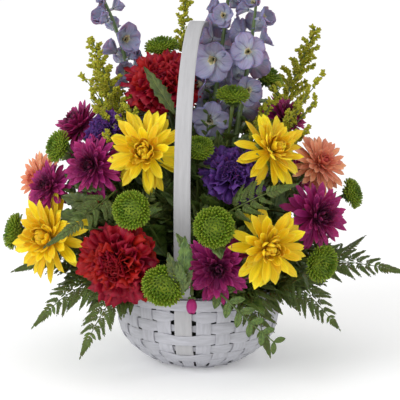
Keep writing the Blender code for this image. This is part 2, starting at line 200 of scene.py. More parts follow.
def mark(tree, name):
    """A value that the mesh carries at each point."""
    return add_node(tree, "ShaderNodeAttribute", attribute_name=name).outputs["Fac"]


def new_group(name, *colours):
    """A shader group that takes colours: the group, its given colours, and its output node."""
    group = bpy.data.node_groups.new(name, "ShaderNodeTree")
    for socket in colours:
        group.interface.new_socket(socket, in_out="INPUT", socket_type="NodeSocketColor")
    for socket, kind in (("Color", "Color"), ("Roughness", "Float"), ("Height", "Float")):
        group.interface.new_socket(socket, in_out="OUTPUT", socket_type="NodeSocket" + kind)
    return group, group.nodes.new("NodeGroupInput").outputs, group.nodes.new("NodeGroupOutput")


def put_out(group, taken, *results):
    """Link a group's colour, roughness and height to its outputs."""
    for socket, result in zip(("Color", "Roughness", "Height"), results):
        group.links.new(result, taken.inputs[socket])


def new_material(name, **sockets):
    """A node material with sockets of its Principled shader set."""
    material = bpy.data.materials.new(name)
    material.use_nodes = True
    shader = material.node_tree.nodes["Principled BSDF"]
    for socket, value in sockets.items():
        shader.inputs[socket.replace("_", " ")].default_value = value
    return material, material.node_tree, shader


def bumped(tree, shader, height, depth):
    """Let a height turn the shader's normal, depth metres deep."""
    bump = add_node(tree, "ShaderNodeBump", {"Height": height, "Distance": depth, "Strength": 1.0})
    tree.links.new(bump.outputs["Normal"], shader.inputs["Normal"])


def make_finish(name, group, colours, depth, **sockets):
    """A material with the colour, roughness and bump that a shader group makes of some colours."""
    material, tree, shader = new_material(name, **sockets)
    skin = add_node(tree, "ShaderNodeGroup", {}, node_tree=group)
    for socket, colour in colours.items():
        skin.inputs[socket].default_value = (*srgb(*colour), 1)
    tree.links.new(skin.outputs["Color"], shader.inputs["Base Color"])
    tree.links.new(skin.outputs["Roughness"], shader.inputs["Roughness"])
    bumped(tree, shader, skin.outputs["Height"], depth)
    return material


def make_grain_group():
    """Lengthwise grain and brush streaks of a painted splint, from its along, across and tint."""
    group, given, taken = new_group("splint_grain", "Shade", "Light")
    along, across, tint = (mark(group, key) for key in ("along", "across", "tint"))
    grain = noise(group, stretched(group, (along, 25), (across, 14), (tint, 90)), detail=4.0)
    streak = noise(group, stretched(group, (along, 6), (across, 2.5), (tint, 30)), detail=2.0)
    streak = ramp(group, streak, (0.3, (0, 0, 0)), (0.7, (1, 1, 1)))
    paint = mixed(group, streak, given["Shade"], given["Light"])
    dark_grain = ramp(group, grain, (0.34, (0.95, 0.945, 0.94)), (0.52, (1, 1, 1)))
    put_out(group, taken, mixed(group, 1.0, paint, dark_grain, "MULTIPLY"),
            reckon(group, "MULTIPLY_ADD", grain, 0.25, 0.45), grain)
    return group


grain_group = make_grain_group()


def make_white_splint(name, shade, light):
    """Thin white paint over a sawn splint."""
    return make_finish(name, grain_group, {"Shade": shade, "Light": light}, 0.15 * MM)


white_splint = make_white_splint("white_splint", (172, 172, 178), (190, 190, 197))


def select_only(obj):
    """Make one object the only one selected, and the active one."""
    bpy.ops.object.select_all(action="DESELECT")
    obj.select_set(True)
    bpy.context.view_layer.objects.active = obj


def apply_modifiers(obj):
    """Apply an object's modifiers in their order."""
    select_only(obj)
    for modifier in list(obj.modifiers):
        bpy.ops.object.modifier_apply(modifier=modifier.name)


def joined(name, objects):
    """Several objects as one piece with a name."""
    select_only(objects[0])
    for obj in objects:
        obj.select_set(True)
    bpy.ops.object.join()
    piece = bpy.context.object
    piece.name = name
    piece.data.name = name
    return piece


def set_mark(mesh, name, values):
    """Store a value at each point of a mesh."""
    attribute = mesh.attributes.get(name) or mesh.attributes.new(name, "FLOAT", "POINT")
    attribute.data.foreach_set("value", np.ravel(values).astype(np.float32))


def splint_strip(length_steps, width_steps, closed=False):
    """A flat strip of quads, with its (along, across) place in 0..1 and -1..1 at each point."""
    if closed:
        bpy.ops.mesh.primitive_cylinder_add(vertices=length_steps, radius=1, depth=2, end_fill_type="NOTHING")
        strip = bpy.context.object
        points = np.array([vertex.co for vertex in strip.data.vertices])
        along = (np.arctan2(points[:, 1], points[:, 0]) / (2 * math.pi)) % 1
        return strip, along, points[:, 2]
    bpy.ops.mesh.primitive_grid_add(x_subdivisions=length_steps, y_subdivisions=width_steps, size=2)
    strip = bpy.context.object
    points = np.array([vertex.co for vertex in strip.data.vertices])
    return strip, points[:, 0] / 2 + 0.5, points[:, 1]


def finish_splint(strip, points, along, across, tint, thickness=SPLINT_THICKNESS):
    """Put a strip's points in place, give it its thickness, eased edges and its marks."""
    strip.data.vertices.foreach_set("co", np.ravel(points))
    set_mark(strip.data, "along", along)
    set_mark(strip.data, "across", across)
    set_mark(strip.data, "tint", np.full(len(points), tint))
    skin = strip.modifiers.new("thickness", "SOLIDIFY")
    skin.thickness = thickness
    skin.offset = 0
    edge = strip.modifiers.new("eased_edges", "BEVEL")
    edge.width = thickness * 0.28
    edge.segments = 2
    edge.limit_method = "ANGLE"
    edge.angle_limit = math.radians(50)
    apply_modifiers(strip)
    bpy.ops.object.shade_smooth_by_angle(angle=math.radians(40))
    return strip


def bowl_outline():
    """(radius, height) points of the bowl's outer face, from its node, from foot to rim."""
    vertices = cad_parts["basket_bowl"].data.vertices
    points = sorted({(round(v.co.z, 5), round(math.hypot(v.co.x, v.co.y), 5)) for v in vertices})
    outline = []
    for point in points:
        while len(outline) > 1 and ((outline[-1][1] - outline[-2][1]) * (point[0] - outline[-2][0])
                                    <= (point[1] - outline[-2][1]) * (outline[-1][0] - outline[-2][0])):
            outline.pop()
        outline.append(point)
    widest = max(radius for _, radius in outline)
    rim_height = max(height for height, radius in outline if radius == widest)
    outline = [point for point in outline if point[0] <= rim_height]
    return np.array([(radius, height) for height, radius in outline if radius > 0.02])


def distances(points):
    """How far along a line of points each of them is."""
    return np.concatenate([[0], np.cumsum(np.linalg.norm(np.diff(points, axis=0), axis=1))])


outline = bowl_outline()
outline_steps = distances(outline)
WALL_LENGTH = outline_steps[-1]


def wall(distance, depth=0.0):
    """(radius, height) at a distance up the bowl's face from its foot, and a depth below the face."""
    reach = np.asarray(distance, float)

    def face(at):
        spread = 3 * MM
        samples = [np.stack([np.interp(at + shift, outline_steps, outline[:, axis]) for axis in (0, 1)], -1)
                   for shift in (-spread, 0, spread)]
        return sum(samples) / 3

    tangent = face(reach + 1 * MM) - face(reach - 1 * MM)
    tangent /= np.linalg.norm(tangent, axis=-1, keepdims=True)
    outward = np.stack([tangent[..., 1], -tangent[..., 0]], -1)
    return face(reach) - outward * np.asarray(depth)[..., None]


def around(radius_height, angle):
    """Points in space from (radius, height) pairs and angles from +X."""
    radius, height = radius_height[..., 0], radius_height[..., 1]
    return np.stack([radius * np.cos(angle), radius * np.sin(angle), height], -1)


def near_leg(angle):
    """1 in front of either leg of the handle, falling to 0 one stake away."""
    step = 2 * math.pi / STAKE_COUNT
    apart = np.abs((angle - FRONT_LEG + math.pi / 2) % math.pi - math.pi / 2)
    return np.clip(1.6 - apart / step * 1.6, 0, 1)


def make_weavers():
    """The rows that go round the bowl."""
    row_count = int(WALL_LENGTH / WEAVER_PITCH)
    rows = []
    for row in range(row_count):
        middle = WALL_LENGTH - WEAVER_PITCH * (row_count - row - 0.5)
        ring, along, across = splint_strip(STAKE_COUNT * WEAVER_STEPS, 1, closed=True)
        angle = along * 2 * math.pi
        swing = np.cos(STAKE_COUNT / 2 * (angle - FRONT_LEG) + math.pi * row)
        over = row < row_count - LEG_FREE_ROWS and (row_count - LEG_FREE_ROWS - row) % 2 == 1
        swing = swing * (1 - near_leg(angle)) + near_leg(angle) * (OVER_LEG if over else BEHIND_LEG)
        pinch = WEAVER_PINCH * np.clip(0.5 - 0.5 * swing, 0, 1.2) ** 1.7 + LEG_PINCH * near_leg(angle)
        half = (WEAVER_WIDTH - pinch) / 2
        wander = 0.25 * MM * np.sin(3 * angle + row * 2.1)
        points = around(wall(middle + wander + across * half, WALL_MIDDLE - swing * WEAVE_SWING), angle)
        rows.append(finish_splint(ring, points, along * 6, across, row * 0.37))
    return joined("basket_weavers", rows)


def make_stakes():
    """The uprights, cut short in the two places that the legs of the handle take."""
    row_count = int(WALL_LENGTH / WEAVER_PITCH)
    stakes = []
    for stake in range(STAKE_COUNT):
        top = LEG_STUB if stake % (STAKE_COUNT // 2) == 0 else WALL_LENGTH
        strip, along, across = splint_strip(STAKE_STEPS, 2)
        distance = along * (top + 10 * MM) - 10 * MM
        row = row_count - 0.5 - (WALL_LENGTH - distance) / WEAVER_PITCH
        swing = -np.cos(math.pi * (row + stake)) * np.clip(distance / (5 * MM), 0, 1)
        centre = wall(np.maximum(distance, 0), WALL_MIDDLE - swing * WEAVE_SWING)
        centre[:, 0] += np.minimum(distance, 0)
        angle = FRONT_LEG + 2 * math.pi * stake / STAKE_COUNT
        narrowing = np.clip(centre[:, 0] / (70 * MM), 0.62, 1)
        sideways = across * STAKE_WIDTH / 2 * narrowing
        points = around(centre, np.full(len(centre), angle))
        points += sideways[:, None] * np.array([-math.sin(angle), math.cos(angle), 0])
        stakes.append(finish_splint(strip, points, along, across, stake * 0.61 + 5))
    return joined("basket_stakes", stakes)


def make_base_mat():
    """The plaited mat of splints under the basket, on which it stands."""
    radius = outline[0, 0] - 1.5 * MM
    pitch = 2 * radius / MAT_SPLINTS
    level, swing = 1.35 * MM, 0.6 * MM
    strips = []
    for direction in (0, 1):
        for index in range(MAT_SPLINTS):
            offset = (index - (MAT_SPLINTS - 1) / 2) * pitch
            half_length = math.sqrt(radius ** 2 - (abs(offset) + pitch * 0.3) ** 2)
            strip, along, across = splint_strip(48, 1)
            length = (along * 2 - 1) * half_length
            phase = length / pitch + (MAT_SPLINTS - 1) / 2 + index + direction
            height = level + swing * np.cos(math.pi * phase)
            sideways = offset + across * pitch * 0.44
            pair = (length, sideways) if direction == 0 else (sideways, length)
            points = np.stack([pair[0], pair[1], height], -1)
            strips.append(finish_splint(strip, points, along, across, index + direction * 7.3, 0.9 * MM))
    return joined("basket_base_mat", strips)


def place_splint(piece, name, node, paint=white_splint):
    """Name and paint a piece, and let it stand for its node on the basket."""
    piece.name = name
    piece.data.materials.clear()
    piece.data.materials.append(paint)
    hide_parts(node)
    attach(piece, "root")


for woven in (make_weavers(), make_stakes(), make_base_mat()):
    place_splint(woven, woven.name, "basket_bowl")

# ---------------------------------------------------------------------------------------
# The rim and the bow handle
# Two flat hoops hold the ends of the stakes between them. The handle is one longer, thicker
# splint, bent into a bow. Its legs go down the outside of the bowl as two of the stakes.
# ---------------------------------------------------------------------------------------
HOOP_SWELL = 0.25 * MM
HANDLE_STEPS = 150


def merged_shape(node, whole_faces=True):
    """A node's shape for measuring: doubled corners merged, and each flat face made whole."""
    shape = bmesh.new()
    shape.from_mesh(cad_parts[node].data)
    bmesh.ops.remove_doubles(shape, verts=shape.verts, dist=0.01 * MM)
    if whole_faces:
        bmesh.ops.dissolve_limit(shape, angle_limit=0.01, verts=shape.verts, edges=shape.edges)
    shape.verts.ensure_lookup_table()
    return shape


def rings_from(start):
    """The rings of corners along a lofted shape, each as an array, from a first ring of corners."""
    rings, seen, ring = [], set(start), list(start)
    while ring:
        rings.append(np.array([vertex.co for vertex in ring]))
        following = []
        for vertex in ring:
            for edge in vertex.link_edges:
                other = edge.other_vert(vertex)
                if other not in seen:
                    seen.add(other)
                    following.append(other)
        ring = following
    return rings


def smooth_path(points, count):
    """Evenly spaced points on a smooth curve through the given ones."""
    points = np.asarray(points, float)
    steps = distances(points)
    slopes = np.gradient(points, steps, axis=0)
    at = np.linspace(0, steps[-1], count)
    cell = np.clip(np.searchsorted(steps, at, side="right") - 1, 0, len(steps) - 2)
    width = (steps[cell + 1] - steps[cell])[:, None]
    t = (at[:, None] - steps[cell][:, None]) / width
    return ((2 * t**3 - 3 * t**2 + 1) * points[cell] + (t**3 - 2 * t**2 + t) * width * slopes[cell]
            + (3 * t**2 - 2 * t**3) * points[cell + 1] + (t**3 - t**2) * width * slopes[cell + 1])


def unit(vectors):
    """Vectors brought to a length of one."""
    vectors = np.asarray(vectors, float)
    return vectors / np.maximum(np.linalg.norm(vectors, axis=-1, keepdims=True), 1e-12)


def make_hoop(node, tint):
    """One hoop of the rim, between the top and bottom of its node."""
    low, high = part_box(node)
    shape = merged_shape(node)
    corners = np.array([vertex.co for vertex in shape.verts])
    shape.free()
    reach = np.hypot(corners[:, 0], corners[:, 1])
    bottom = corners[:, 2] < (low[2] + high[2]) / 2
    middles = [(reach[part].min() + reach[part].max()) / 2 for part in (bottom, ~bottom)]
    thickness = reach[bottom].max() - reach[bottom].min()
    ring, along, across = splint_strip(STAKE_COUNT * 6, 1, closed=True)
    angle = along * 2 * math.pi
    height = (low[2] + high[2]) / 2 + across * ((high[2] - low[2]) / 2 + 0.2 * MM * np.sin(5 * angle + tint))
    radius = np.interp(across, [-1, 1], middles) + HOOP_SWELL * np.sin(7 * angle + tint * 3)
    points = np.stack([radius * np.cos(angle), radius * np.sin(angle), height], -1)
    return finish_splint(ring, points, along * 6, across, tint, thickness)


def make_handle():
    """The bow, along the middle of its node."""
    shape = merged_shape("handle")
    front = [vertex for vertex in shape.verts if vertex.co.y < 0]
    lowest = min(front, key=lambda vertex: vertex.co.z)
    rings = rings_from([vertex for vertex in front if (vertex.co - lowest.co).length < 30 * MM
                        and abs(vertex.co.z - lowest.co.z) < 1.5 * MM])
    shape.free()
    route = smooth_path([ring.mean(axis=0) for ring in rings], HANDLE_STEPS + 1)
    side = unit([math.cos(FRONT_LEG + math.pi / 2), math.sin(FRONT_LEG + math.pi / 2), 0])
    top = rings[len(rings) // 2]
    half_width = np.ptp(top @ side) / 2
    forward = unit(np.gradient(route, axis=0))
    outward = np.cross(forward, side)
    thickness = np.ptp((top - route[HANDLE_STEPS // 2]) @ outward[HANDLE_STEPS // 2])
    strip, along, across = splint_strip(HANDLE_STEPS, 4)
    step = np.rint(along * HANDLE_STEPS).astype(int)
    narrowing = 1 - 0.10 * np.sin(math.pi * along) ** 2 + 0.01 * np.sin(along * 40)
    points = route[step] + (across * half_width * narrowing)[:, None] * side
    return finish_splint(strip, points, along * 4, across, 11.0, thickness)


for node, tint in (("rim_outer_hoop", 2.0), ("rim_inner_hoop", 3.3)):
    place_splint(make_hoop(node, tint), node.replace("hoop", "splint"), node)

handle_paint = make_white_splint("handle_paint", (172, 171, 173), (182, 181, 183))
handle = make_handle()
place_splint(handle, "bow_handle", "handle", handle_paint)

# ---------------------------------------------------------------------------------------
# The liner and the wet foam
# A thin dark plastic liner keeps the water in. The block of green foam in it is soaked, and
# cut with a knife, so that its faces are pitted; the pits are darkened with painted shade.
# ---------------------------------------------------------------------------------------
liner_plastic, tree, shader = new_material("liner_plastic", Roughness=0.35)
place = add_node(tree, "ShaderNodeTexCoord").outputs["Object"]
scuffs = noise(tree, place, 90.0, 5.0)
liner_colour = ramp(tree, scuffs, (0.4, srgb(26, 30, 26)), (0.7, srgb(44, 50, 42)))
tree.links.new(liner_colour, shader.inputs["Base Color"])
tree.links.new(reckon(tree, "MULTIPLY_ADD", scuffs, 0.4, 0.2), shader.inputs["Roughness"])
bumped(tree, shader, scuffs, 0.0002)

wet_foam, tree, shader = new_material("wet_foam", Roughness=0.85)
place = add_node(tree, "ShaderNodeTexCoord").outputs["Object"]
cells = add_node(tree, "ShaderNodeTexVoronoi", {"Vector": place, "Scale": 700.0}).outputs["Distance"]
tone = noise(tree, place, 45.0)
foam_colour = ramp(tree, tone, (0.35, srgb(24, 58, 34)), (0.65, srgb(40, 84, 50)))
# Painted shade: the foam's colour is darkened to half at the bottom of each pit, where shade would fall.
pit_shade = ramp(tree, cells, (0.1, (0.5, 0.5, 0.5)), (0.5, (1, 1, 1)))
tree.links.new(mixed(tree, 1.0, foam_colour, pit_shade, "MULTIPLY"), shader.inputs["Base Color"])
bumped(tree, shader, cells, 0.0006)
for node, material in (("liner", liner_plastic), ("foam", wet_foam)):
    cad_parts[node].data.materials.clear()
    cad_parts[node].data.materials.append(material)

# ---------------------------------------------------------------------------------------
# The yellow chrysanthemums
# Large heads of strap petals, channelled and pointed, in rows that stand up more and more
# towards a tight, curled, golden heart. Each grows on its own green stem.
# ---------------------------------------------------------------------------------------
STEM_SIDES = 8
STEM_STEPS = 26
THICKEST_STEM = 1.9 * MM        # radius of the free part of a stem
PETAL_SKIN = 0.35 * MM
LEAF_SKIN = 0.4 * MM
BRACT_SKIN = 0.5 * MM
FOCUS = np.array([0, 0, 60 * MM])   # the spot in the foam that every stem points at
HEAD_SIZE = {"magenta_mum_low_front": 1.14}     # the oldest head, at the front, is blown open
MUM_ROWS = (                    # count, length, width, lift, curl (in head radii and degrees)
    (12, 1.10, 0.28, -6, -4), (13, 1.02, 0.27, 8, 6), (13, 0.86, 0.24, 22, 20), (15, 0.66, 0.20, 36, 48),
    (16, 0.54, 0.16, 48, 78), (16, 0.46, 0.14, 56, 96), (14, 0.38, 0.12, 66, 108), (11, 0.31, 0.10, 78, 98))
# Outlines: how wide a leaf or petal is, as (place along it, part of its width).
BROAD = ((0, 0.10), (0.12, 0.5), (0.3, 0.92), (0.45, 1.0), (0.65, 0.85), (0.85, 0.45), (0.96, 0.15),
         (1, 0.04))
STRAP = ((0, 0.38), (0.15, 0.55), (0.4, 0.86), (0.65, 1.0), (0.82, 0.90), (0.93, 0.58), (0.98, 0.26),
         (1, 0.06))


def grid_pattern(length_steps, width_steps):
    """A thin closed plate modelled once: its points as (along, across, side), and its faces."""
    bpy.ops.mesh.primitive_grid_add(x_subdivisions=length_steps, y_subdivisions=width_steps, size=2)
    plate = bpy.context.object
    skin = plate.modifiers.new("skin", "SOLIDIFY")
    skin.thickness = 0.02
    skin.offset = 0
    apply_modifiers(plate)
    points = np.array([vertex.co for vertex in plate.data.vertices])
    faces = [tuple(face.vertices) for face in plate.data.polygons]
    bpy.data.objects.remove(plate)
    along, across = np.clip(points[:, 0] / 2 + 0.5, 0, 1), np.clip(points[:, 1], -1, 1)
    return along, across, np.sign(points[:, 2]), faces


def shaped_petal(pattern, outline, length, width, lift=0.0, curl=0.0, power=1.0, cup=0.0, twist=0.0,
                 ruffle=0.0, waves=3.0, phase=0.0, jag=0.0, teeth=0.0, skin=PETAL_SKIN):
    """A pattern's points as one petal: out along +X from the origin, turning up towards +Z."""
    along, across, side, _ = pattern
    fine = np.linspace(0, 1, 41)
    rise = lift + curl * fine ** power
    run = np.concatenate([[0], np.cumsum((np.cos(rise[1:]) + np.cos(rise[:-1])) / 2)]) / 40
    climb = np.concatenate([[0], np.cumsum((np.sin(rise[1:]) + np.sin(rise[:-1])) / 2)]) / 40
    stops = np.array(outline)
    half = np.interp(along, stops[:, 0], stops[:, 1]) * width / 2 * (1 + teeth * np.sin(along * 42))
    turn = lift + curl * along ** power
    reach = length * (1 + jag * np.sin(across * 17 + phase) * along ** 3 - 0.12 * jag * across ** 2)
    sideways = across * half
    raised = cup * half * across ** 2 + ruffle * along ** 1.6 * np.sin(waves * across * math.pi + phase)
    raised = raised + side * skin / 2 * (1 - 0.55 * np.abs(across) ** 3)
    angle = twist * along
    sideways, raised = (sideways * np.cos(angle) - raised * np.sin(angle),
                        sideways * np.sin(angle) + raised * np.cos(angle))
    return np.stack([np.interp(along, fine, run) * reach - raised * np.sin(turn), sideways,
                     np.interp(along, fine, climb) * reach + raised * np.cos(turn)], -1)


def turned_about_z(angle):
    """The matrix that turns points about +Z."""
    cosine, sine = math.cos(angle), math.sin(angle)
    return np.array([[cosine, -sine, 0], [sine, cosine, 0], [0, 0, 1]])


def facing_matrix(facing, roll=0.0):
    """The matrix that turns +Z to a direction."""
    turn = Vector(facing).to_track_quat("Z", "Y").to_matrix() @ Matrix.Rotation(roll, 3, "Z")
    return np.array(turn)


class Cluster:
    """Copies of patterns, gathered into one piece with its marks and finishes."""

    def __init__(self):
        self.points, self.faces, self.marks, self.finishes, self.count = [], [], [], [], 0

    def add(self, points, faces, finish=0, along=0.0, across=0.0, row=0.0, tint=0.0):
        marks = np.stack([np.broadcast_to(value, len(points)) for value in (along, across, row, tint)], -1)
        self.points.append(points)
        self.marks.append(marks)
        self.faces.extend(tuple(corner + self.count for corner in face) for face in faces)
        self.finishes.extend([finish] * len(faces))
        self.count += len(points)

    def add_petal(self, pattern, points, row=0.0, tint=0.0, finish=0):
        self.add(points, pattern[3], finish, pattern[0], pattern[1], row, tint)

    def made(self, name, finishes, nodes=(), slot=None):
        """The piece itself, smooth, riding on the basket and standing for its nodes.

        The slot argument is not used.
        """
        mesh = bpy.data.meshes.new(name)
        mesh.from_pydata(np.concatenate(self.points).tolist(), [], self.faces)
        marks = np.concatenate(self.marks)
        for index, key in enumerate(("along", "across", "row", "tint")):
            set_mark(mesh, key, marks[:, index])
        for finish in finishes:
            mesh.materials.append(finish)
        mesh.polygons.foreach_set("material_index", self.finishes)
        mesh.polygons.foreach_set("use_smooth", [True] * len(self.faces))
        piece = bpy.data.objects.new(name, mesh)
        scene.collection.objects.link(piece)
        if nodes:
            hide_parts(*nodes)
        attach(piece, "root")


def add_tube(cluster, points, radii, sides=STEM_SIDES, finish=0, tint=0.0, row=0.0):
    """A round stalk through points, closed at both ends."""
    points = np.asarray(points, float)
    forward = unit(np.gradient(points, axis=0))
    side = unit(np.cross(forward[0], (0.31, 0.12, 0.94) if abs(forward[0][2]) < 0.9 else (1, 0.1, 0)))
    rings = []
    for place, ahead, radius in zip(points, forward, np.broadcast_to(radii, len(points))):
        side = unit(side - ahead * (side @ ahead))
        other = np.cross(ahead, side)
        turns = np.arange(sides) * 2 * math.pi / sides
        rings.append(place + radius * (np.cos(turns)[:, None] * side + np.sin(turns)[:, None] * other))
    faces = []
    for ring in range(len(points) - 1):
        for corner in range(sides):
            beside = (corner + 1) % sides
            low, high = ring * sides, (ring + 1) * sides
            faces.append((low + corner, low + beside, high + beside, high + corner))
    faces.append(tuple(reversed(range(sides))))
    faces.append(tuple((len(points) - 1) * sides + corner for corner in range(sides)))
    along = np.repeat(np.linspace(0, 1, len(points)), sides)
    across = np.tile(np.cos(np.arange(sides) * 2 * math.pi / sides), len(points))
    cluster.add(np.concatenate(rings), faces, finish, along, across, row, tint)


def measured(rings):
    """The middles and the radii of rings of corners."""
    middles = np.array([ring.mean(axis=0) for ring in rings])
    radii = [np.linalg.norm(ring - middle, axis=1).mean() for ring, middle in zip(rings, middles)]
    return middles, np.array(radii)


def read_flower(node):
    """A flower's head (middle, facing, radius) and stem (points, radii, from the neck down)."""
    shape = merged_shape(node)
    front = max((face for face in shape.faces if len(face.verts) > 6), key=lambda face: face.calc_area())
    facing = np.array(front.normal)
    middles, radii = measured(rings_from(front.verts))
    shape.free()
    widest = int(np.argmax(radii))
    neck = next(index for index in range(widest, len(radii)) if radii[index] < 0.25 * radii[widest])
    radius = radii[widest] / 0.96 * HEAD_SIZE.get(node, 1)
    return (middles[widest], facing, radius), (middles[neck:], radii[neck:])


def each(kind):
    """The nodes of one kind of flower or leaf, numbered in the order of their names."""
    return enumerate(sorted(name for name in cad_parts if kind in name))


def leaf_points(pattern, outline, length, width, place, forward, upward, chance, curl=-0.3, cup=0.25,
                ruffle=0.0, teeth=0.0):
    """A leaf's points at a place, pointing forward with its face upward."""
    points = shaped_petal(pattern, outline, length, width, 0.0, curl, 1.2, cup, chance.uniform(-0.3, 0.3),
                          ruffle, 2.5, chance.uniform(0, 6), teeth=teeth, skin=LEAF_SKIN)
    forward = unit(forward)
    side = unit(np.cross(upward, forward))
    return points @ np.array([forward, side, np.cross(forward, side)]) + place


def add_leaf(cluster, finish, pattern, outline, length, width, place, forward, upward, chance, *habit,
             fits=lambda points: True):
    """One leaf with a tint of its own, left out where it doesn't fit."""
    points = leaf_points(pattern, outline, length, width, place, forward, upward, chance, *habit)
    if fits(points):
        cluster.add_petal(pattern, points, 0, chance.random(), finish)


def add_stem(cluster, points, radii, chance, leaves=3):
    """A flower's own stem, with toothed leaves from its joints."""
    route = smooth_path(points, STEM_STEPS)
    along = np.linspace(0, 1, STEM_STEPS)
    thick = np.interp(along, np.linspace(0, 1, len(radii)), radii)
    thick[2:] = np.minimum(thick[2:], THICKEST_STEM)
    thick *= 1 + 0.10 * np.cos(along * 24)
    add_tube(cluster, route, thick, finish=1)
    for leaf in range(leaves):
        joint = 3 + 4 * leaf + chance.randrange(3)
        ahead = unit(route[joint - 1] - route[joint + 1])
        turn = chance.uniform(0, 6.3)
        beside = unit(np.cross(ahead, [math.cos(turn), math.sin(turn), 0.2]))
        length = chance.uniform(26, 40) * MM
        add_leaf(cluster, 2, broad_pattern, BROAD, length, length * 0.52, route[joint], beside + ahead * 0.8,
                 ahead, chance, -0.5, 0.3, 1.2 * MM, 0.16)


def make_petal_group():
    """The skin of a petal: colour along its length, by its row, with fine lengthwise veins."""
    group, given, taken = new_group("petal_skin", "Foot", "Blade", "Edge", "Heart")
    along, across, row, tint = (mark(group, key) for key in ("along", "across", "row", "tint"))
    out = ramp(group, along, (0.05, (0, 0, 0)), (0.45, (1, 1, 1)))
    blade = mixed(group, out, given["Foot"], given["Blade"])
    edge = reckon(group, "POWER", reckon(group, "MAXIMUM", reckon(group, "ABSOLUTE", across), along), 6.0)
    blade = mixed(group, reckon(group, "MULTIPLY", edge, 0.75), blade, given["Edge"])
    blade = mixed(group, ramp(group, row, (0.28, (0, 0, 0)), (0.8, (1, 1, 1))), blade, given["Heart"])
    veins = noise(group, stretched(group, (across, 9.0), (along, 1.5), (tint, 37.0)))
    pale = ramp(group, veins, (0.3, (0.80, 0.78, 0.76)), (0.6, (1, 1, 1)))
    blade = varied(group, mixed(group, 1.0, blade, pale, "MULTIPLY"), tint, (0.016, 0.492), (0.26, 0.87))
    put_out(group, taken, blade, reckon(group, "MULTIPLY_ADD", veins, 0.2, 0.4), veins)
    return group


petal_group = make_petal_group()


def make_petals(name, foot, blade, edge, heart, soft=0.12, sheen=0.15):
    """The finish of one kind of petal."""
    colours = {"Foot": foot, "Blade": blade, "Edge": edge, "Heart": heart}
    return make_finish(name, petal_group, colours, 0.25 * MM, Subsurface_Weight=soft, Subsurface_Scale=0.003,
                       Sheen_Weight=sheen, Specular_IOR_Level=0.25)


def make_leaf_group():
    """The skin of a leaf or stem: mottled greens, a pale midrib and side veins."""
    group, given, taken = new_group("leaf_skin", "Dark", "Light", "Rib")
    along, across, tint = (mark(group, key) for key in ("along", "across", "tint"))
    patches = noise(group, stretched(group, (across, 2.0), (along, 7.0), (tint, 31.0)))
    spread = ramp(group, patches, (0.35, (0, 0, 0)), (0.65, (1, 1, 1)))
    blade = mixed(group, spread, given["Dark"], given["Light"])
    width = reckon(group, "ABSOLUTE", across)
    rib = ramp(group, width, (0.0, (1, 1, 1)), (0.13, (0, 0, 0)))
    blade = mixed(group, reckon(group, "MULTIPLY", rib, 0.55), blade, given["Rib"])
    slope = reckon(group, "SUBTRACT", reckon(group, "MULTIPLY", along, 48.0),
                   reckon(group, "MULTIPLY", width, 9.0))
    veins = reckon(group, "MULTIPLY_ADD", reckon(group, "SINE", slope), 0.5, 0.5)
    faint = reckon(group, "MULTIPLY", reckon(group, "POWER", veins, 6.0), 0.16)
    blade = varied(group, mixed(group, faint, blade, given["Rib"]), tint, (0.03, 0.485), (0.5, 0.75))
    put_out(group, taken, blade, reckon(group, "MULTIPLY_ADD", patches, 0.25, 0.32),
            reckon(group, "SUBTRACT", reckon(group, "MULTIPLY", veins, -0.4), rib))
    return group


leaf_group = make_leaf_group()


def make_greenery(name, dark, light, rib, depth=0.3 * MM):
    """The finish of one kind of leaf or stem."""
    return make_finish(name, leaf_group, {"Dark": dark, "Light": light, "Rib": rib}, depth,
                       Subsurface_Weight=0.05, Subsurface_Scale=0.002)


yellow_petals = make_petals("yellow_petals", (230, 170, 8), (248, 208, 13), (250, 222, 62),
                            (244, 186, 15), soft=0.25, sheen=0.05)
stem_green = make_greenery("stem_green", (66, 92, 34), (104, 128, 52), (150, 160, 90))
broad_green = make_greenery("broad_green", (52, 74, 26), (92, 112, 44), (130, 144, 82), 0.5 * MM)
broad_pattern = grid_pattern(21, 4)
strap_pattern = grid_pattern(8, 4)
bract_pattern = grid_pattern(4, 2)


def on_head(points, turn, matrix, middle):
    """A petal's points, swung round the axis of its head and put where the head is."""
    return points @ turned_about_z(turn).T @ matrix.T + middle


def add_rows(cluster, head, outline, rows, chance, cup=0.5, ease=1.0, twist=0.25, curl_power=1.0):
    """The rows of petals of one head, from the outer one inwards."""
    middle, facing, radius = head
    matrix = facing_matrix(facing, chance.uniform(0, math.pi))
    for level, (count, length, width, lift, curl) in enumerate(rows):
        row = level / (len(rows) - 1)
        for index in range(count):
            turn = 2 * math.pi * (index + 0.5 * level + chance.uniform(-0.22, 0.22) * ease) / count
            points = shaped_petal(
                strap_pattern, outline, radius * length * chance.uniform(0.88, 1.05),
                radius * width * chance.uniform(0.85, 1.1), math.radians(lift + chance.uniform(-8, 8) * ease),
                math.radians(curl + chance.uniform(-14, 14) * ease), curl_power,
                cup * chance.uniform(0.6, 1.3), chance.uniform(-twist, twist))
            points = points + np.array([radius * 0.04, 0, radius * (0.30 * row - 0.22)])
            cluster.add_petal(strap_pattern, on_head(points, turn, matrix, middle), row, chance.random())


def add_receptacle(cluster, head, chance, neck=0.5, width=0.24, count=12):
    """The green cup of small scales behind a head."""
    middle, facing, radius = head
    matrix = facing_matrix(facing)
    for level in (0, 1):
        for index in range(count):
            turn = 2 * math.pi * (index + 0.5 * level) / count
            points = shaped_petal(bract_pattern, STRAP, radius * (0.62 - 0.1 * level), radius * width,
                                  math.radians(72 - 20 * level), math.radians(-75), 0.8, 0.3, skin=BRACT_SKIN)
            points = points + np.array([radius * 0.03, 0, -radius * neck])
            cluster.add_petal(bract_pattern, on_head(points, turn, matrix, middle), 0, chance.random(), 1)


def finish_flower(flower, node, stem, chance, petals, leaves=3):
    """Grow a flower's stem and make the flower one piece."""
    add_stem(flower, *stem, chance, leaves)
    flower.made(node + "_bloom", (petals, stem_green, broad_green), (node,))


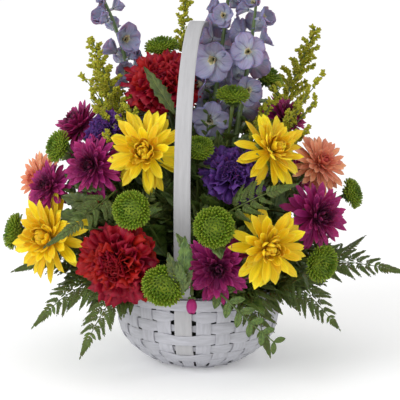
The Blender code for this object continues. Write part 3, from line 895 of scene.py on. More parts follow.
def grow_mums(kind, seed, petals, outline, rows, **habit):
    """Every chrysanthemum of one colour."""
    for number, node in each(kind):
        chance = random.Random(seed + number)
        head, stem = read_flower(node)
        flower = Cluster()
        add_rows(flower, head, outline, rows, chance, **habit)
        add_receptacle(flower, head, chance)
        finish_flower(flower, node, stem, chance, petals)


grow_mums("yellow_mum", 100, yellow_petals, STRAP, MUM_ROWS, ease=2.1, twist=0.5, curl_power=1.4)

# ---------------------------------------------------------------------------------------
# The magenta chrysanthemums
# Heads of many narrower, blunt petals that stand up in the middle, darkest in the heart. One
# closed bud hangs at the front on a thin side stem.
# ---------------------------------------------------------------------------------------
MAGENTA_ROWS = (
    (15, 1.12, 0.26, -6, -4), (16, 1.07, 0.24, 7, 2), (16, 0.95, 0.22, 19, 8), (17, 0.80, 0.19, 30, 14),
    (17, 0.66, 0.16, 40, 24), (16, 0.53, 0.14, 50, 36), (15, 0.42, 0.12, 60, 48), (12, 0.32, 0.10, 74, 60))
BLUNT = ((0, 0.35), (0.2, 0.62), (0.5, 0.92), (0.75, 1.0), (0.9, 0.80), (0.97, 0.45), (1, 0.12))
BUD_ROWS = ((7, 2.3, 1.0, 40, 92), (6, 2.1, 0.85, 50, 80), (5, 1.9, 0.7, 60, 60))

magenta_petals = make_petals("magenta_petals", (108, 14, 66), (156, 28, 102), (178, 54, 128),
                             (64, 4, 40), sheen=0.03)

grow_mums("magenta_mum", 200, magenta_petals, BLUNT, MAGENTA_ROWS, ease=1.6, twist=0.4, curl_power=1.3)

chance = random.Random(250)
head, stem = read_flower("magenta_bud_front")
middle, facing, radius = head
bud = Cluster()
bud_foot = middle - facing * radius * 0.75
for level, (count, length, width, lift, curl) in enumerate(BUD_ROWS):
    for index in range(count):
        turn = 2 * math.pi * (index + level / 2) / count
        points = shaped_petal(strap_pattern, BLUNT, radius * length, radius * width, math.radians(lift),
                              math.radians(curl), 1.0, 0.5)
        points = on_head(points + np.array([radius * 0.18, 0, 0]), turn, facing_matrix(facing), bud_foot)
        bud.add_petal(strap_pattern, points, 0.2, chance.random())
add_receptacle(bud, head, chance, neck=0.95, width=0.6, count=7)
finish_flower(bud, "magenta_bud_front", stem, chance, magenta_petals, leaves=0)

# ---------------------------------------------------------------------------------------
# The peach chrysanthemums
# Open daisy heads: two or three rows of narrow peach petals round a low, dense coral heart.
# ---------------------------------------------------------------------------------------
PEACH_ROWS = (
    (20, 1.14, 0.22, -3, -6), (20, 1.06, 0.215, 8, 2), (19, 0.90, 0.20, 20, 10), (18, 0.60, 0.14, 34, 26),
    (18, 0.46, 0.11, 44, 50), (16, 0.37, 0.09, 56, 60), (13, 0.29, 0.08, 68, 60), (9, 0.22, 0.07, 82, 50))

peach_petals = make_petals("peach_petals", (212, 88, 66), (226, 136, 100), (242, 180, 144),
                           (204, 54, 54), soft=0.2, sheen=0.03)

grow_mums("peach_mum", 300, peach_petals, BLUNT, PEACH_ROWS, cup=0.35, ease=0.7)

# ---------------------------------------------------------------------------------------
# The green button chrysanthemums
# Small firm domes of quilled florets, close packed in spirals, with a dimple where the middle
# ones are still shut. The florets are lime at their ends and dark between.
# ---------------------------------------------------------------------------------------
BUTTON_FLORETS = 190
# How much further up these heads look than their nodes do.
UPWARD = {"green_button_mum_top_left": 1.5, "green_button_mum_upper_front": 0.8}
SKIRT_FLORETS = 36              # long outer ones that make the cup below the dome
GOLDEN_ANGLE = math.radians(137.508)
QUILL = ((0, 0.7), (0.4, 0.8), (0.75, 1.0), (0.93, 0.75), (1, 0.3))

green_petals = make_petals("green_petals", (34, 60, 4), (96, 128, 12), (146, 166, 40),
                           (72, 104, 10), soft=0.08, sheen=0.03)
quill_pattern = grid_pattern(3, 2)


def add_button(cluster, head, chance):
    """One dome of florets over a solid core, with a skirt of longer ones."""
    middle, facing, radius = head
    matrix = facing_matrix(facing, chance.uniform(0, 6))
    heights = np.array([-0.50, -0.40, -0.12, 0.10, 0.24, 0.30])
    widths = np.array([0.12, 0.36, 0.70, 0.74, 0.52, 0.10])
    add_tube(cluster, middle + np.outer(heights, facing) * radius, widths * radius, 18, 0, 0.3)
    for index in range(SKIRT_FLORETS):
        turn = 2 * math.pi * index / SKIRT_FLORETS
        points = shaped_petal(quill_pattern, QUILL, radius * chance.uniform(0.98, 1.08), radius * 0.17,
                              math.radians(14), math.radians(66), 1.0, 0.3, skin=radius * 0.05)
        points = on_head(points + np.array([0.10, 0, -0.50]) * radius, turn, matrix, middle)
        cluster.add_petal(quill_pattern, points, 0.0, chance.random())
    for index in range(BUTTON_FLORETS):
        part = (index + 0.5) / BUTTON_FLORETS
        polar = math.acos(1 - part * 1.42)
        dimple = max(0.0, 1 - part / 0.07)
        length = radius * (0.30 - 0.14 * dimple + 0.05 * part) * chance.uniform(0.88, 1.12)
        foot = radius * np.array([0.72 * math.sin(polar), 0, 0.30 * math.cos(polar) - 0.10 * dimple - 0.02])
        lift = math.pi / 2 - polar * 0.96 + math.radians(chance.uniform(-9, 9))
        points = shaped_petal(quill_pattern, QUILL, length, radius * 0.13, lift,
                              math.radians(chance.uniform(5, 40)), 1.0, 0.3, chance.uniform(-0.5, 0.5),
                              skin=radius * 0.055)
        cluster.add_petal(quill_pattern, on_head(points + foot, index * GOLDEN_ANGLE, matrix, middle),
                          0.95 * max(0.0, 1 - part / 0.3), chance.random())


for number, node in each("green_button"):
    chance = random.Random(400 + number)
    (middle, facing, radius), stem = read_flower(node)
    head = middle, unit(facing + np.array([0, 0, UPWARD.get(node, 0.0)])), radius
    flower = Cluster()
    add_button(flower, head, chance)
    add_receptacle(flower, head, chance, neck=0.62, width=0.28)
    finish_flower(flower, node, stem, chance, green_petals)

# ---------------------------------------------------------------------------------------
# The red and violet carnations
# Crowded fans with saw-toothed, crinkled edges, held at their narrow ends by a long green cup.
# ---------------------------------------------------------------------------------------
CARNATION_ROWS = (              # count, length, width, lift, curl, ruffle
    (9, 1.16, 1.05, 30, -48, 0.10), (9, 1.12, 1.00, 42, -50, 0.13), (9, 1.04, 0.95, 53, -44, 0.15),
    (9, 0.95, 0.85, 63, -34, 0.16), (8, 0.88, 0.78, 72, -26, 0.16), (7, 0.83, 0.68, 79, -16, 0.15),
    (6, 0.80, 0.56, 85, -8, 0.14), (4, 0.78, 0.46, 89, 0, 0.12))
FAN = ((0, 0.10), (0.3, 0.16), (0.5, 0.42), (0.7, 0.78), (0.88, 1.0), (1, 0.97))

red_petals = make_petals("red_petals", (70, 0, 10), (142, 0, 20), (164, 5, 32),
                         (122, 0, 20), soft=0.04, sheen=0.02)
violet_petals = make_petals("violet_petals", (32, 9, 58), (58, 22, 94), (90, 50, 132),
                            (50, 20, 86), soft=0.06, sheen=0.04)
fan_pattern = grid_pattern(8, 14)


def add_carnation(cluster, head, chance):
    """One crowded head with its cup."""
    middle, facing, radius = head
    matrix = facing_matrix(facing, chance.uniform(0, 6))
    for level, (count, length, width, lift, curl, ruffle) in enumerate(CARNATION_ROWS):
        for index in range(count):
            turn = 2 * math.pi * (index + 0.5 * level + chance.uniform(-0.25, 0.25)) / count
            points = shaped_petal(
                fan_pattern, FAN, radius * length * chance.uniform(0.9, 1.05),
                radius * width * chance.uniform(0.85, 1.1), math.radians(lift + chance.uniform(-9, 9)),
                math.radians(curl + chance.uniform(-16, 16)), 1.3, chance.uniform(-0.1, 0.3),
                chance.uniform(-0.5, 0.5), radius * ruffle * chance.uniform(0.8, 1.4),
                chance.uniform(1.6, 2.8), chance.uniform(0, 6), 0.035)
            points = on_head(points + np.array([radius * 0.03, 0, -radius * 0.46]), turn, matrix, middle)
            cluster.add_petal(fan_pattern, points, 0.6 * level / 7, chance.random())
    heights = np.array([-1.02, -0.95, -0.75, -0.5, -0.32])
    widths = np.array([0.06, 0.15, 0.19, 0.21, 0.19])
    add_tube(cluster, middle + np.outer(heights, facing) * radius, widths * radius, 12, 1, 0.4)


for number, node in each("carnation"):
    chance = random.Random(500 + number)
    head, stem = read_flower(node)
    flower = Cluster()
    add_carnation(flower, head, chance)
    finish_flower(flower, node, stem, chance, red_petals if node.startswith("red") else violet_petals)

# ---------------------------------------------------------------------------------------
# The delphiniums
# Tall stalks with open lavender blossoms on short footstalks, each with a spur behind and an
# olive and cream eye in the middle, and round buds towards the tip.
# ---------------------------------------------------------------------------------------
SEPAL = ((0, 0.30), (0.15, 0.55), (0.4, 0.92), (0.62, 1.0), (0.85, 0.78), (0.96, 0.4), (1, 0.12))
BUD_PITCH = 0.035               # of the flowering stretch, which is the upper half of the stalk
SPIKE_CORNERS = 10              # corners round a spike's or a plume's node
# Each blossom: how far up the flowering stretch, the side it grows from in degrees, its radius in mm
# and how open it is. Closed buds follow above the last one.
BLOSSOMS = {
    "delphinium_left": (
        (-0.06, 200, 14, 0.7), (0.0, -80, 15, 0.75), (0.05, 95, 14, 0.6), (0.11, -20, 15, 0.5),
        (0.15, 160, 14, 0.5), (0.20, 60, 14, 0.5), (0.25, -104, 14, 0.62), (0.27, 0, 15, 0.35),
        (0.30, 115, 14, 0.5), (0.33, -35, 13, 0.3), (0.36, 184, 15, 0.4), (0.40, 60, 14, 0.4),
        (0.44, -62, 19, 0.62), (0.50, 110, 14, 0.4), (0.56, -140, 16, 0.42), (0.61, 175, 11, 0.3),
        (0.64, 20, 12, 0.35), (0.69, -110, 11, 0.3)),
    "delphinium_centre": (
        (-0.12, -98, 18, 1.0), (-0.06, 170, 16, 0.9), (0.0, 50, 18, 0.8), (0.04, 125, 20, 0.9),
        (0.09, 190, 19, 0.9), (0.13, -20, 15, 0.7), (0.16, 65, 20, 0.85), (0.25, -112, 23, 0.95),
        (0.31, 100, 20, 0.9), (0.37, 170, 17, 0.8), (0.42, 15, 15, 0.75), (0.46, 110, 17, 0.8),
        (0.52, -104, 15, 0.68), (0.56, 190, 14, 0.5), (0.61, 60, 14, 0.7), (0.66, -50, 13, 0.6),
        (0.70, 150, 12, 0.5), (0.74, -110, 11, 0.5), (0.78, 30, 10, 0.4)),
    "delphinium_right": (
        (-0.04, 140, 18, 0.9), (0.04, 75, 18, 0.8), (0.10, 165, 17, 0.8), (0.19, -72, 17, 0.85),
        (0.26, 120, 19, 0.9), (0.34, 60, 18, 0.85), (0.43, -98, 20, 0.92), (0.50, 5, 15, 0.7),
        (0.54, 150, 16, 0.8), (0.58, 80, 15, 0.6), (0.64, -40, 15, 0.55), (0.69, 170, 13, 0.6),
        (0.74, -110, 12, 0.5), (0.78, 70, 11, 0.4))}

delphinium_petals = make_petals("delphinium_petals", (198, 202, 204), (148, 148, 176), (114, 106, 160),
                                (150, 140, 196), soft=0.2, sheen=0.05)
delphinium_eye = make_petals("delphinium_eye", (58, 56, 26), (196, 188, 140), (228, 214, 190),
                             (44, 40, 22))
sepal_pattern = grid_pattern(7, 6)
spike_green = make_greenery("spike_green", (74, 104, 58), (112, 142, 84), (158, 176, 120))


def rings_to_tip(node, corners):
    """A plant's rings of corners from its cut end to its tip, which has so many corners."""
    shape = merged_shape(node, whole_faces=False)
    tip = max(shape.verts, key=lambda vertex: (vertex.co - Vector(FOCUS)).length)
    rings = rings_from(sorted(shape.verts, key=lambda vertex: (vertex.co - tip.co).length)[:corners])[::-1]
    shape.free()
    return rings


def point_at(route, steps, at):
    """The point at a distance along a route."""
    return np.array([np.interp(at, steps, route[:, axis]) for axis in range(3)])


def add_blossom(cluster, foot, facing, radius, chance, openness):
    """One delphinium blossom: five sepals, a spur behind, and a small eye."""
    matrix = facing_matrix(facing, chance.uniform(0, 6))
    for index in range(5):
        lift = 78 - 62 * openness + chance.uniform(-8, 8)
        points = shaped_petal(
            sepal_pattern, SEPAL, radius * chance.uniform(0.92, 1.08), radius * (1.3 - 0.25 * openness),
            math.radians(lift), math.radians(48 - 60 * openness + chance.uniform(-14, 14)), 1.0,
            0.6 - 0.3 * openness, chance.uniform(-0.3, 0.3), radius * 0.035, 2.0, chance.uniform(0, 6))
        points = points + np.array([radius * 0.05, 0, radius * 0.03 * (index % 2)])
        points = on_head(points, index * 2 * math.pi / 5, matrix, foot)
        cluster.add_petal(sepal_pattern, points, 0, chance.random())
    for index in range(5):
        points = shaped_petal(bract_pattern, BLUNT, radius * 0.46, radius * 0.30,
                              math.radians(48 + chance.uniform(-10, 10)), math.radians(30), 1.0, 0.6)
        points = on_head(points, (index + 0.5) * 2 * math.pi / 5, matrix, foot + facing * radius * 0.03)
        cluster.add_petal(bract_pattern, points, 0, chance.random(), 2)
    add_tube(cluster, foot + np.outer([0.0, 0.10, 0.16], facing) * radius,
             np.array([0.14, 0.13, 0.04]) * radius, 8, 2, row=1.0)
    drop = unit(np.array([0, 0, 1.0]) - facing * facing[2])
    spur = [foot + radius * (drop * rise - facing * back)
            for back, rise in ((0.02, 0), (0.4, 0.08), (0.75, 0.28))]
    add_tube(cluster, smooth_path(spur, 5), np.array([0.15, 0.12, 0.09, 0.06, 0.03]) * radius, 7, 0, 0.5)


def add_bud(cluster, foot, facing, radius, chance):
    """One closed round bud."""
    heights = np.array([0, 0.3, 0.7, 1.2, 1.65, 1.9])
    widths = np.array([0.2, 0.65, 0.95, 0.9, 0.5, 0.1])
    add_tube(cluster, foot + np.outer(heights, facing) * radius, widths * radius, 9, 0, chance.random())


for number, node in each("delphinium"):
    chance = random.Random(600 + number)
    route = smooth_path(measured(rings_to_tip(node, SPIKE_CORNERS))[0], 90)
    steps = distances(route)
    length = steps[-1]
    low = length * 0.50
    plant = Cluster()
    add_tube(plant, route, np.interp(steps, [0, low, length], [1.6 * MM, 2.7 * MM, 1.0 * MM]), 9, 1)
    blossoms = list(BLOSSOMS[node])
    while blossoms[-1][0] < 0.985:
        part = blossoms[-1][0] + BUD_PITCH
        blossoms.append((part, math.degrees(len(blossoms) * GOLDEN_ANGLE), 9.5 - 6 * part, 0))
    for part, turn, size, openness in blossoms:
        at = low + (length - low) * part
        place = point_at(route, steps, at)
        ahead = unit(point_at(route, steps, at + 2 * MM) - place + 1e-9)
        turn = math.radians(turn)
        outward = unit(np.array([math.cos(turn), math.sin(turn), 0.15]) - ahead * 0.1)
        size = size * MM * chance.uniform(0.95, 1.05)
        if not openness:
            foot = place + outward * size * 0.9 + ahead * size * 0.7
            add_bud(plant, foot, unit(outward + ahead * 0.8), size, chance)
            add_tube(plant, [place, (place + foot) / 2 + ahead * MM, foot], 0.6 * MM, 6, 1)
            continue
        foot = place + outward * size * (0.30 + 0.35 * openness) + ahead * size * 0.2
        facing = unit(outward + np.array([0, 0, chance.uniform(-0.2, 0.15) + 0.9 * (1 - openness)]))
        add_blossom(plant, foot, facing, size, chance, openness)
        add_tube(plant, [place, place + outward * size * 0.3 + ahead * size * 0.2, foot], 0.8 * MM, 6, 1)
    plant.made(node + "_stalk", (delphinium_petals, spike_green, delphinium_eye), (node,))

# ---------------------------------------------------------------------------------------
# The goldenrod
# Narrow plumes of short arching side sprays, each strung with tiny yellow-green florets.
# ---------------------------------------------------------------------------------------
SPRAY_PITCH = 3.2 * MM
FLORET_PITCH = 1.5 * MM
SPRAY_STEPS = 12
SPRIG_FLORETS = 30              # on each spray of a short side piece

goldenrod_florets = make_petals("goldenrod_florets", (92, 112, 22), (156, 156, 30), (190, 186, 54),
                                (150, 150, 30), sheen=0.03)


def add_spray(cluster, points, florets, chance):
    """One arching side spray strung with florets."""
    spray = smooth_path(points, SPRAY_STEPS)
    ahead = unit(spray[-1] - spray[0])
    rings = np.linspace(0, SPRAY_STEPS - 1, 5).astype(int)
    add_tube(cluster, spray[rings], np.linspace(0.45, 0.25, 5) * MM, 5, 1)
    for _ in range(florets):
        spot = spray[2 + int(10 * chance.random())]
        lean = unit(ahead * 0.8 + np.array([chance.uniform(-1, 1) for _ in range(3)]))
        size = chance.uniform(2.6, 4.2) * MM
        add_tube(cluster, spot + np.outer([0, 0.45, 1.0], lean) * size,
                 np.array([0.16, 0.36, 0.14]) * size, 4, 0, chance.random())


for number, node in each("goldenrod"):
    chance = random.Random(700 + number)
    middles, radii = measured(rings_to_tip(node, SPIKE_CORNERS))
    route = smooth_path(middles, 80)
    steps, spots = distances(route), distances(middles)
    low = steps[-1] * 0.42
    plant = Cluster()
    add_tube(plant, route, np.interp(steps, [0, steps[-1]], [1.6 * MM, 0.5 * MM]), 7, 1)
    for index in range(int((steps[-1] - low) / SPRAY_PITCH)):
        at = low + SPRAY_PITCH * (index + 0.5)
        place = point_at(route, steps, at)
        ahead = unit(point_at(route, steps, at + 2 * MM) - place + 1e-9)
        turn = index * GOLDEN_ANGLE + number
        outward = np.array([math.cos(turn), math.sin(turn), 0.0])
        reach = max(np.interp(at, spots, radii) * 1.35, 6 * MM) * chance.uniform(0.7, 1.15)
        add_spray(plant, [place, place + outward * reach * 0.55 + ahead * reach * 0.75,
                          place + (outward + ahead) * reach], int(reach * 7 / FLORET_PITCH), chance)
    plant.made(node + "_plume", (goldenrod_florets, spike_green), (node,))

# Short side pieces of goldenrod, tucked in low between the heads: where each tip is, in mm.
SPRIG_TIPS = (
    (-88, -46, 236), (-98, -26, 256), (-74, -38, 250), (-106, 6, 262), (72, -14, 262), (88, -16, 250),
    (108, -14, 238), (100, 20, 262), (60, 60, 240), (-60, 70, 250), (10, 100, 215), (83, 10, 276),
    (102, -5, 257), (118, 0, 264), (126, 10, 288), (-68, -32, 262), (-62, -44, 244), (-112, 4, 284))
sprigs = Cluster()
chance = random.Random(750)
for tip in SPRIG_TIPS:
    tip = np.array(tip) * MM
    foot = tip * np.array([0.45, 0.45, 0.62]) + np.array([0, 0, 12 * MM])
    route = smooth_path([foot, (foot + tip) / 2 + np.array([0, 0, 4 * MM]), tip], 30)
    add_tube(sprigs, route, np.linspace(1.0, 0.4, 30) * MM, 6, 1)
    for branch in range(9):
        place = route[12 + branch * 2]
        outward = unit(np.array([chance.uniform(-1, 1), chance.uniform(-1, 1), chance.uniform(-0.2, 0.8)]))
        ahead = unit(tip - foot)
        reach = chance.uniform(9, 14) * MM * (1 - branch * 0.07)
        add_spray(sprigs, [place, place + (outward + ahead) * reach * 0.5,
                           place + (outward * 0.8 + ahead * 0.9) * reach], SPRIG_FLORETS, chance)
sprigs.made("goldenrod_sprigs", (goldenrod_florets, spike_green))

# ---------------------------------------------------------------------------------------
# The fern fronds
# Leatherleaf fern: a wiry midrib with side ribs in pairs, each carrying small leathery leaflets
# that get smaller towards the toothed tip.
# ---------------------------------------------------------------------------------------
WHOLE_LEAFLET = 12 * MM         # side ribs shorter than this are single leaflets
SIDE_RIB_PITCH = 9 * MM
RIB_STEPS = 13
BLADE_CORNERS = 4               # corners round a flat blade's node
LEAFLET = ((0, 0.25), (0.22, 0.78), (0.42, 1.0), (0.68, 0.74), (0.88, 0.34), (1, 0.05))

fern_green = make_greenery("fern_green", (52, 70, 20), (98, 118, 38), (144, 154, 86))
leaflet_pattern = grid_pattern(3, 2)
sprig_pattern = grid_pattern(3, 1)      # for the many fronds that are half hidden


def read_blade(node):
    """A frond's or leaf's middle line from stalk to tip, its half widths, and its sideways direction."""
    rings = rings_to_tip(node, BLADE_CORNERS)
    middles, _ = measured(rings)
    side = unit(np.cross([0, 0, 1.0], middles[-1] - FOCUS))
    return middles, np.array([np.ptp(ring @ side) / 2 for ring in rings]), side


def add_leaflets(cluster, rib, longest, upward, chance, finish, pattern):
    """Pointed leaflets in pairs along a rib, smaller and closer towards its toothed tip."""
    steps = distances(rib)
    at = longest * 0.45
    while at < steps[-1] - 0.8 * MM:
        left = 1 - at / steps[-1]
        size = max(longest * (0.25 + 0.85 * left), 2.6 * MM) * chance.uniform(0.92, 1.08)
        ahead = unit(point_at(rib, steps, at + MM) - point_at(rib, steps, at - MM))
        beside = unit(np.cross(upward, ahead))
        for hand in (-1, 1):
            spread = math.radians(34 + 22 * left + chance.uniform(-5, 5)) * hand
            add_leaf(cluster, finish, pattern, LEAFLET, size, size * (0.44 + 0.12 * (1 - left)),
                     point_at(rib, steps, at), ahead * math.cos(spread) + beside * math.sin(spread), upward,
                     chance)
        at += max(size * (0.26 + 0.20 * left), 1.3 * MM)
    add_leaf(cluster, finish, pattern, LEAFLET, longest * 0.5, longest * 0.22, rib[-1], rib[-1] - rib[-2],
             upward, chance)


def add_frond(cluster, route, half_width, face, chance, finish=0, low=0.0, pattern=leaflet_pattern):
    """One frond: ribs in pairs along its midrib, and a leaflet-fringed tip, turned to face a way."""
    steps = distances(route)
    add_tube(cluster, route, np.linspace(1.0, 0.3, len(route)) * MM, 6, finish, 0.4)
    at = low * steps[-1]
    while at < steps[-1]:
        place = point_at(route, steps, at)
        ahead = unit(point_at(route, steps, at + 2 * MM) - point_at(route, steps, at - 2 * MM))
        side = unit(np.cross(face, ahead))
        upward = np.cross(ahead, side)
        part = (at / steps[-1] - low) / (1 - low)
        reach = 1.7 * half_width * (1 - 0.92 * part)
        if reach < WHOLE_LEAFLET:
            start = int(np.searchsorted(steps, at))
            add_leaflets(cluster, route[max(start - 2, 0):], reach * 0.85, upward, chance, finish, pattern)
            break
        for hand in (-1, 1):
            angle = math.radians(56 - 16 * part + chance.uniform(-6, 6))
            out = unit(ahead * math.cos(angle) + side * hand * math.sin(angle))
            length = reach * chance.uniform(0.92, 1.08)
            end = place + out * length + ahead * length * 0.16 - upward * length * chance.uniform(-0.05, 0.2)
            rib = smooth_path([place, place + out * length * 0.5 + upward * length * 0.05, end], RIB_STEPS)
            rings = rib[::3]
            add_tube(cluster, rings, np.linspace(0.5, 0.2, len(rings)) * MM, 4, finish, 0.4)
            add_leaflets(cluster, rib, min(length * 0.32, 10.5 * MM), upward, chance, finish, pattern)
        at += SIDE_RIB_PITCH


for number, node in each("fern_frond"):
    chance = random.Random(800 + number)
    middles, halves, side = read_blade(node)
    route = smooth_path(middles, 60)
    frond = Cluster()
    face = np.array([0.3 * np.sign(middles[-1, 0]), 0.8 * np.sign(middles[-1, 1]), 0.75])
    add_frond(frond, route, halves.max(), face, chance, low=0.36)
    frond.made(node + "_leaflets", (fern_green,), (node,), "leaf")

# ---------------------------------------------------------------------------------------
# The broad leaves and the leafy middle
# Toothed chrysanthemum leaves on the stems, broad leaves, and short fern sprigs pushed in among
# the stems, so that neither foam nor liner shows between the flowers.
# ---------------------------------------------------------------------------------------
SPRIG_COUNT = 46
INNER_LEAVES = 330
FILL_PART = 0.86                # how near the flower heads the greenery reaches
HANDLE_GAP = 7 * MM             # that leaves keep from the bow
SPRIG_GAP = 18 * MM             # that the middle of a frond keeps from it
TALL_STEPS = 30                 # joints of an upright sprig, with a leaf at all but the lowest

for number, node in each("broad_leaf"):
    chance = random.Random(850 + number)
    middles, halves, side = read_blade(node)
    route = smooth_path(middles, 40)
    leaf = Cluster()
    wide = int(np.argmax(halves))
    start = next(index for index in range(wide, 0, -1) if halves[index - 1] < 0.3 * halves[wide])
    foot, tip = middles[max(start - 1, 0)], middles[-1]
    upward = np.cross(tip - foot, side)
    upward = upward if upward[2] > 0 else -upward
    points = leaf_points(broad_pattern, BROAD, np.linalg.norm(tip - foot), halves[wide] * 2, foot, tip - foot,
                         upward, chance, -0.25, 0.3, 1.5 * MM, 0.16)
    leaf.add_petal(broad_pattern, points, 0, 0.5)
    reach = np.linalg.norm(middles - middles[0], axis=1)
    stalk = list(middles[reach < np.linalg.norm(foot - middles[0])])
    add_tube(leaf, smooth_path(stalk + [foot], 20), 1.2 * MM, 7, 0, 0.5)
    leaf.made(node + "_blade", (broad_green,), (node,), "leaf")

heads = [read_flower(name)[0][0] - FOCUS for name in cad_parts
         if any(kind in name for kind in ("mum", "carnation", "button")) and "bud" not in name]

handle_tree = KDTree(len(handle.data.vertices))
for index, vertex in enumerate(handle.data.vertices):
    handle_tree.insert(vertex.co, index)
handle_tree.balance()


def head_reach(aim):
    """How far from the focus the flower heads are, in a direction."""
    lengths = np.array([np.linalg.norm(head) for head in heads])
    nearness = np.array([float(head @ aim) for head in heads]) / lengths
    weights = np.exp((nearness - 1) / 0.03) + 1e-9
    return float((weights * lengths).sum() / weights.sum())


def clear_of_handle(points, gap=HANDLE_GAP):
    """Whether points are all clear of the bow."""
    return min(handle_tree.find(point)[2] for point in np.atleast_2d(points)) > gap


def inner_aim(index, count, lowest, highest, offset=0.0):
    """Evenly spread directions over the dome, from lowest to highest height above level (sines)."""
    height = lowest + (highest - lowest) * (index + 0.5) / count
    turn = index * GOLDEN_ANGLE + offset
    flat = math.sqrt(1 - height * height)
    return np.array([flat * math.cos(turn), flat * math.sin(turn), height])


# Pieces of greenery that lie over the flowers: routes in mm, from the foot to the tip.
OVER_YELLOW = ((-78, -58, 184), (-104, -94, 168), (-124, -110, 154), (-142, -114, 142))
OVER_VIOLET = ((22, -72, 160), (42, -90, 176), (66, -93, 188), (92, -84, 194))
OVER_RED = ((-22, -38, 254), (-51, -40, 302))
OVER_RIM = ((12, -98, 100), (32, -112, 84), (52, -119, 66), (72, -122, 50))
# Toothed leaves lying over the foot of the handle's front leg: foot, tip and width, all in mm.
OVER_HANDLE = (
    ((-14, -122, 112), (-11, -128, 153), 13), ((-20, -124, 108), (-27, -130, 138), 11),
    ((-12, -126, 106), (-20, -134, 130), 10), ((-16, -124, 98), (-6, -132, 122), 10),
    ((-6, -118, 128), (-18, -126, 156), 10))
OVAL = ((0, 0.2), (0.2, 0.75), (0.45, 1.0), (0.7, 0.88), (0.9, 0.45), (1, 0.06))



def add_broad(cluster, foot, tip, width, rise, chance, **test):
    """A toothed leaf from its foot to its tip, in mm, with its face to the front."""
    foot, tip = np.array(foot) * MM, np.array(tip) * MM
    add_leaf(cluster, 1, broad_pattern, BROAD, np.linalg.norm(tip - foot), width * MM, foot, tip - foot,
             np.array([chance.uniform(-0.4, 0.4), -1, rise]), chance, -0.4, 0.3, 1 * MM, 0.16, **test)


chance = random.Random(880)
overlay = Cluster()
add_frond(overlay, smooth_path(np.array(OVER_YELLOW) * MM, 40), 12 * MM, np.array([-0.2, -0.9, 0.5]), chance,
          low=0.2)
add_frond(overlay, smooth_path(np.array(OVER_VIOLET) * MM, 40), 13 * MM, np.array([0.1, -0.9, 0.5]), chance,
          low=0.25)
for foot, tip, width in OVER_HANDLE:
    add_broad(overlay, foot, tip, width, 0.3, chance)
foot, tip = np.array(OVER_RED) * MM
points = leaf_points(broad_pattern, BROAD, np.linalg.norm(tip - foot), 13 * MM, foot, tip - foot,
                     np.array([0.1, -1, 0.4]), chance, -0.3, 0.3, 1 * MM, 0.22)
overlay.add_petal(broad_pattern, points, 0, 0.1, 1)
route = smooth_path(np.array(OVER_RIM) * MM, 30)
add_tube(overlay, route, np.linspace(1.2, 0.6, 30) * MM, 6, 1, 0.5)
upward = np.array([0, -0.9, 0.45])
for pair in range(6):
    joint = 4 + pair * 5
    near_end = pair == 5
    ahead = unit(route[joint + 1 - near_end] - route[joint - 1 - near_end])
    beside = unit(np.cross(upward, ahead))
    for hand in (-1, 1):
        points = leaf_points(broad_pattern, OVAL, (17 - pair) * MM, (8.5 - pair * 0.5) * MM, route[joint],
                             ahead * 0.55 + beside * hand * 0.85, upward, chance, -0.25, 0.3, 0.4 * MM, 0.03)
        overlay.add_petal(broad_pattern, points, 0, 0.55 + 0.45 * chance.random(), 1)
overlay.made("overlying_greenery", (fern_green, broad_green), (), "leaf")

inner_pattern = grid_pattern(10, 2)
oval_pattern = grid_pattern(6, 2)
quarters = [Cluster() for _ in range(4)]


def quarter_of(place):
    """The part of the inner greenery that a place belongs to, by its quarter of the basket."""
    return quarters[int((math.atan2(place[1], place[0]) / (math.pi / 2)) % 4)]


chance = random.Random(900)
for index in range(SPRIG_COUNT):
    aim = inner_aim(index, SPRIG_COUNT, 0.18, 0.97)
    reach = head_reach(aim) * FILL_PART * chance.uniform(0.9, 1.15)
    bend = np.array([chance.uniform(-0.25, 0.25), chance.uniform(-0.25, 0.25), 0.1])
    route = smooth_path([FOCUS + aim * 50 * MM, FOCUS + aim * reach * 0.6, FOCUS + unit(aim + bend) * reach],
                        40)
    face = np.array([chance.uniform(-0.4, 0.4), 0.7 * np.sign(aim[1]) + chance.uniform(-0.3, 0.3), 0.8])
    if clear_of_handle(route, SPRIG_GAP):
        add_frond(quarter_of(aim), route, chance.uniform(16, 22) * MM, face + aim * 0.3, chance, low=0.3,
                  pattern=sprig_pattern)
for index in range(INNER_LEAVES):
    aim = inner_aim(index, INNER_LEAVES, 0.24, 0.98, 1.0)
    reach = head_reach(aim) * chance.uniform(0.5, 0.98)
    sway = np.array([chance.uniform(-0.9, 0.9), chance.uniform(-0.9, 0.9), chance.uniform(-0.5, 0.6)])
    upward = unit(np.array([chance.uniform(-0.5, 0.5), chance.uniform(-0.5, 0.5), 1]) + aim * 0.8)
    length = chance.uniform(32, 52) * MM
    add_leaf(quarter_of(aim), 1, inner_pattern, BROAD, length, length * 0.5, FOCUS + aim * reach * 0.65,
             unit(aim + sway), upward, chance, -0.5, 0.3, 1.5 * MM, 0.16, fits=clear_of_handle)
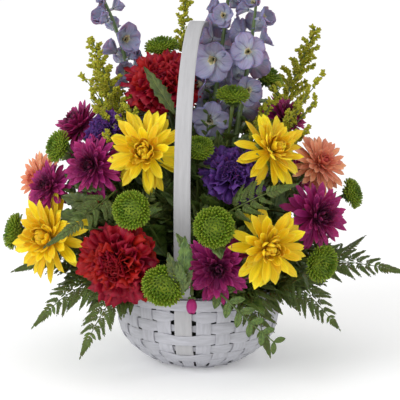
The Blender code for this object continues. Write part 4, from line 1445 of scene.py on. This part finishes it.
# Upright leafy sprigs behind the handle and between the stalks: where each tip is, in mm.
TALL_TIPS = (
    (16, 34, 292), (30, 48, 268), (-8, 52, 300), (52, 34, 268), (-62, 34, 276), (4, 76, 272), (-34, 70, 286),
    (64, 74, 252), (84, 44, 256), (-84, 44, 262), (12, 8, 268), (-20, 96, 262), (40, 92, 258), (-96, 66, 236),
    (10, -8, 250), (26, -4, 246), (38, 10, 262), (2, 20, 274), (-8, 4, 262), (48, 4, 240), (-112, -50, 170),
    (-100, -64, 162), (-124, -38, 178), (-90, -72, 176), (-78, -70, 160))
for tip in TALL_TIPS:
    tip = np.array(tip) * MM
    foot = tip * np.array([0.3, 0.3, 0.4]) + np.array([0, 0, 24 * MM])
    route = smooth_path([foot, (foot + tip) / 2 + np.array([0, 0, 6 * MM]), tip], TALL_STEPS)
    add_tube(quarter_of(tip), route, np.linspace(1.3, 0.5, TALL_STEPS) * MM, 6, 1)
    for leaf in range(TALL_STEPS - 4):
        ahead = unit(route[min(5 + leaf, TALL_STEPS - 1)] - route[3 + leaf])
        turn = leaf * GOLDEN_ANGLE
        forward = np.array([math.cos(turn), math.sin(turn), 0.1]) + ahead * 0.8
        upward = np.array([chance.uniform(-0.7, 0.7), chance.choice((-1, 1)), chance.uniform(0, 0.8)])
        length = chance.uniform(15, 22) * MM * (1.1 - leaf / 40)
        add_leaf(quarter_of(tip), 1, oval_pattern, OVAL, length, length * 0.42, route[4 + leaf], forward,
                 upward, chance, -0.5, 0.3, fits=clear_of_handle)
# Broad leaves between the heads: foot, tip and width, all in mm.
SIDE_LEAVES = (
    ((-98, -48, 146), (-136, -58, 162), 22), ((-94, -46, 162), (-132, -52, 178), 20),
    ((-90, -30, 176), (-130, -34, 196), 20), ((-86, -40, 190), (-118, -44, 182), 18),
    ((-70, -30, 196), (-128, -20, 212), 20), ((60, -20, 190), (96, -26, 214), 18),
    ((30, 0, 200), (52, -10, 232), 16), ((20, -6, 196), (22, -14, 232), 16), ((6, 10, 200), (2, 6, 240), 16))
for foot, tip, width in SIDE_LEAVES:
    add_broad(quarter_of(tip), foot, tip, width, 0.5, chance, fits=clear_of_handle)
for number, quarter in enumerate(quarters):
    quarter.made(f"inner_greenery_{number}", (fern_green, broad_green), (), "leaf")
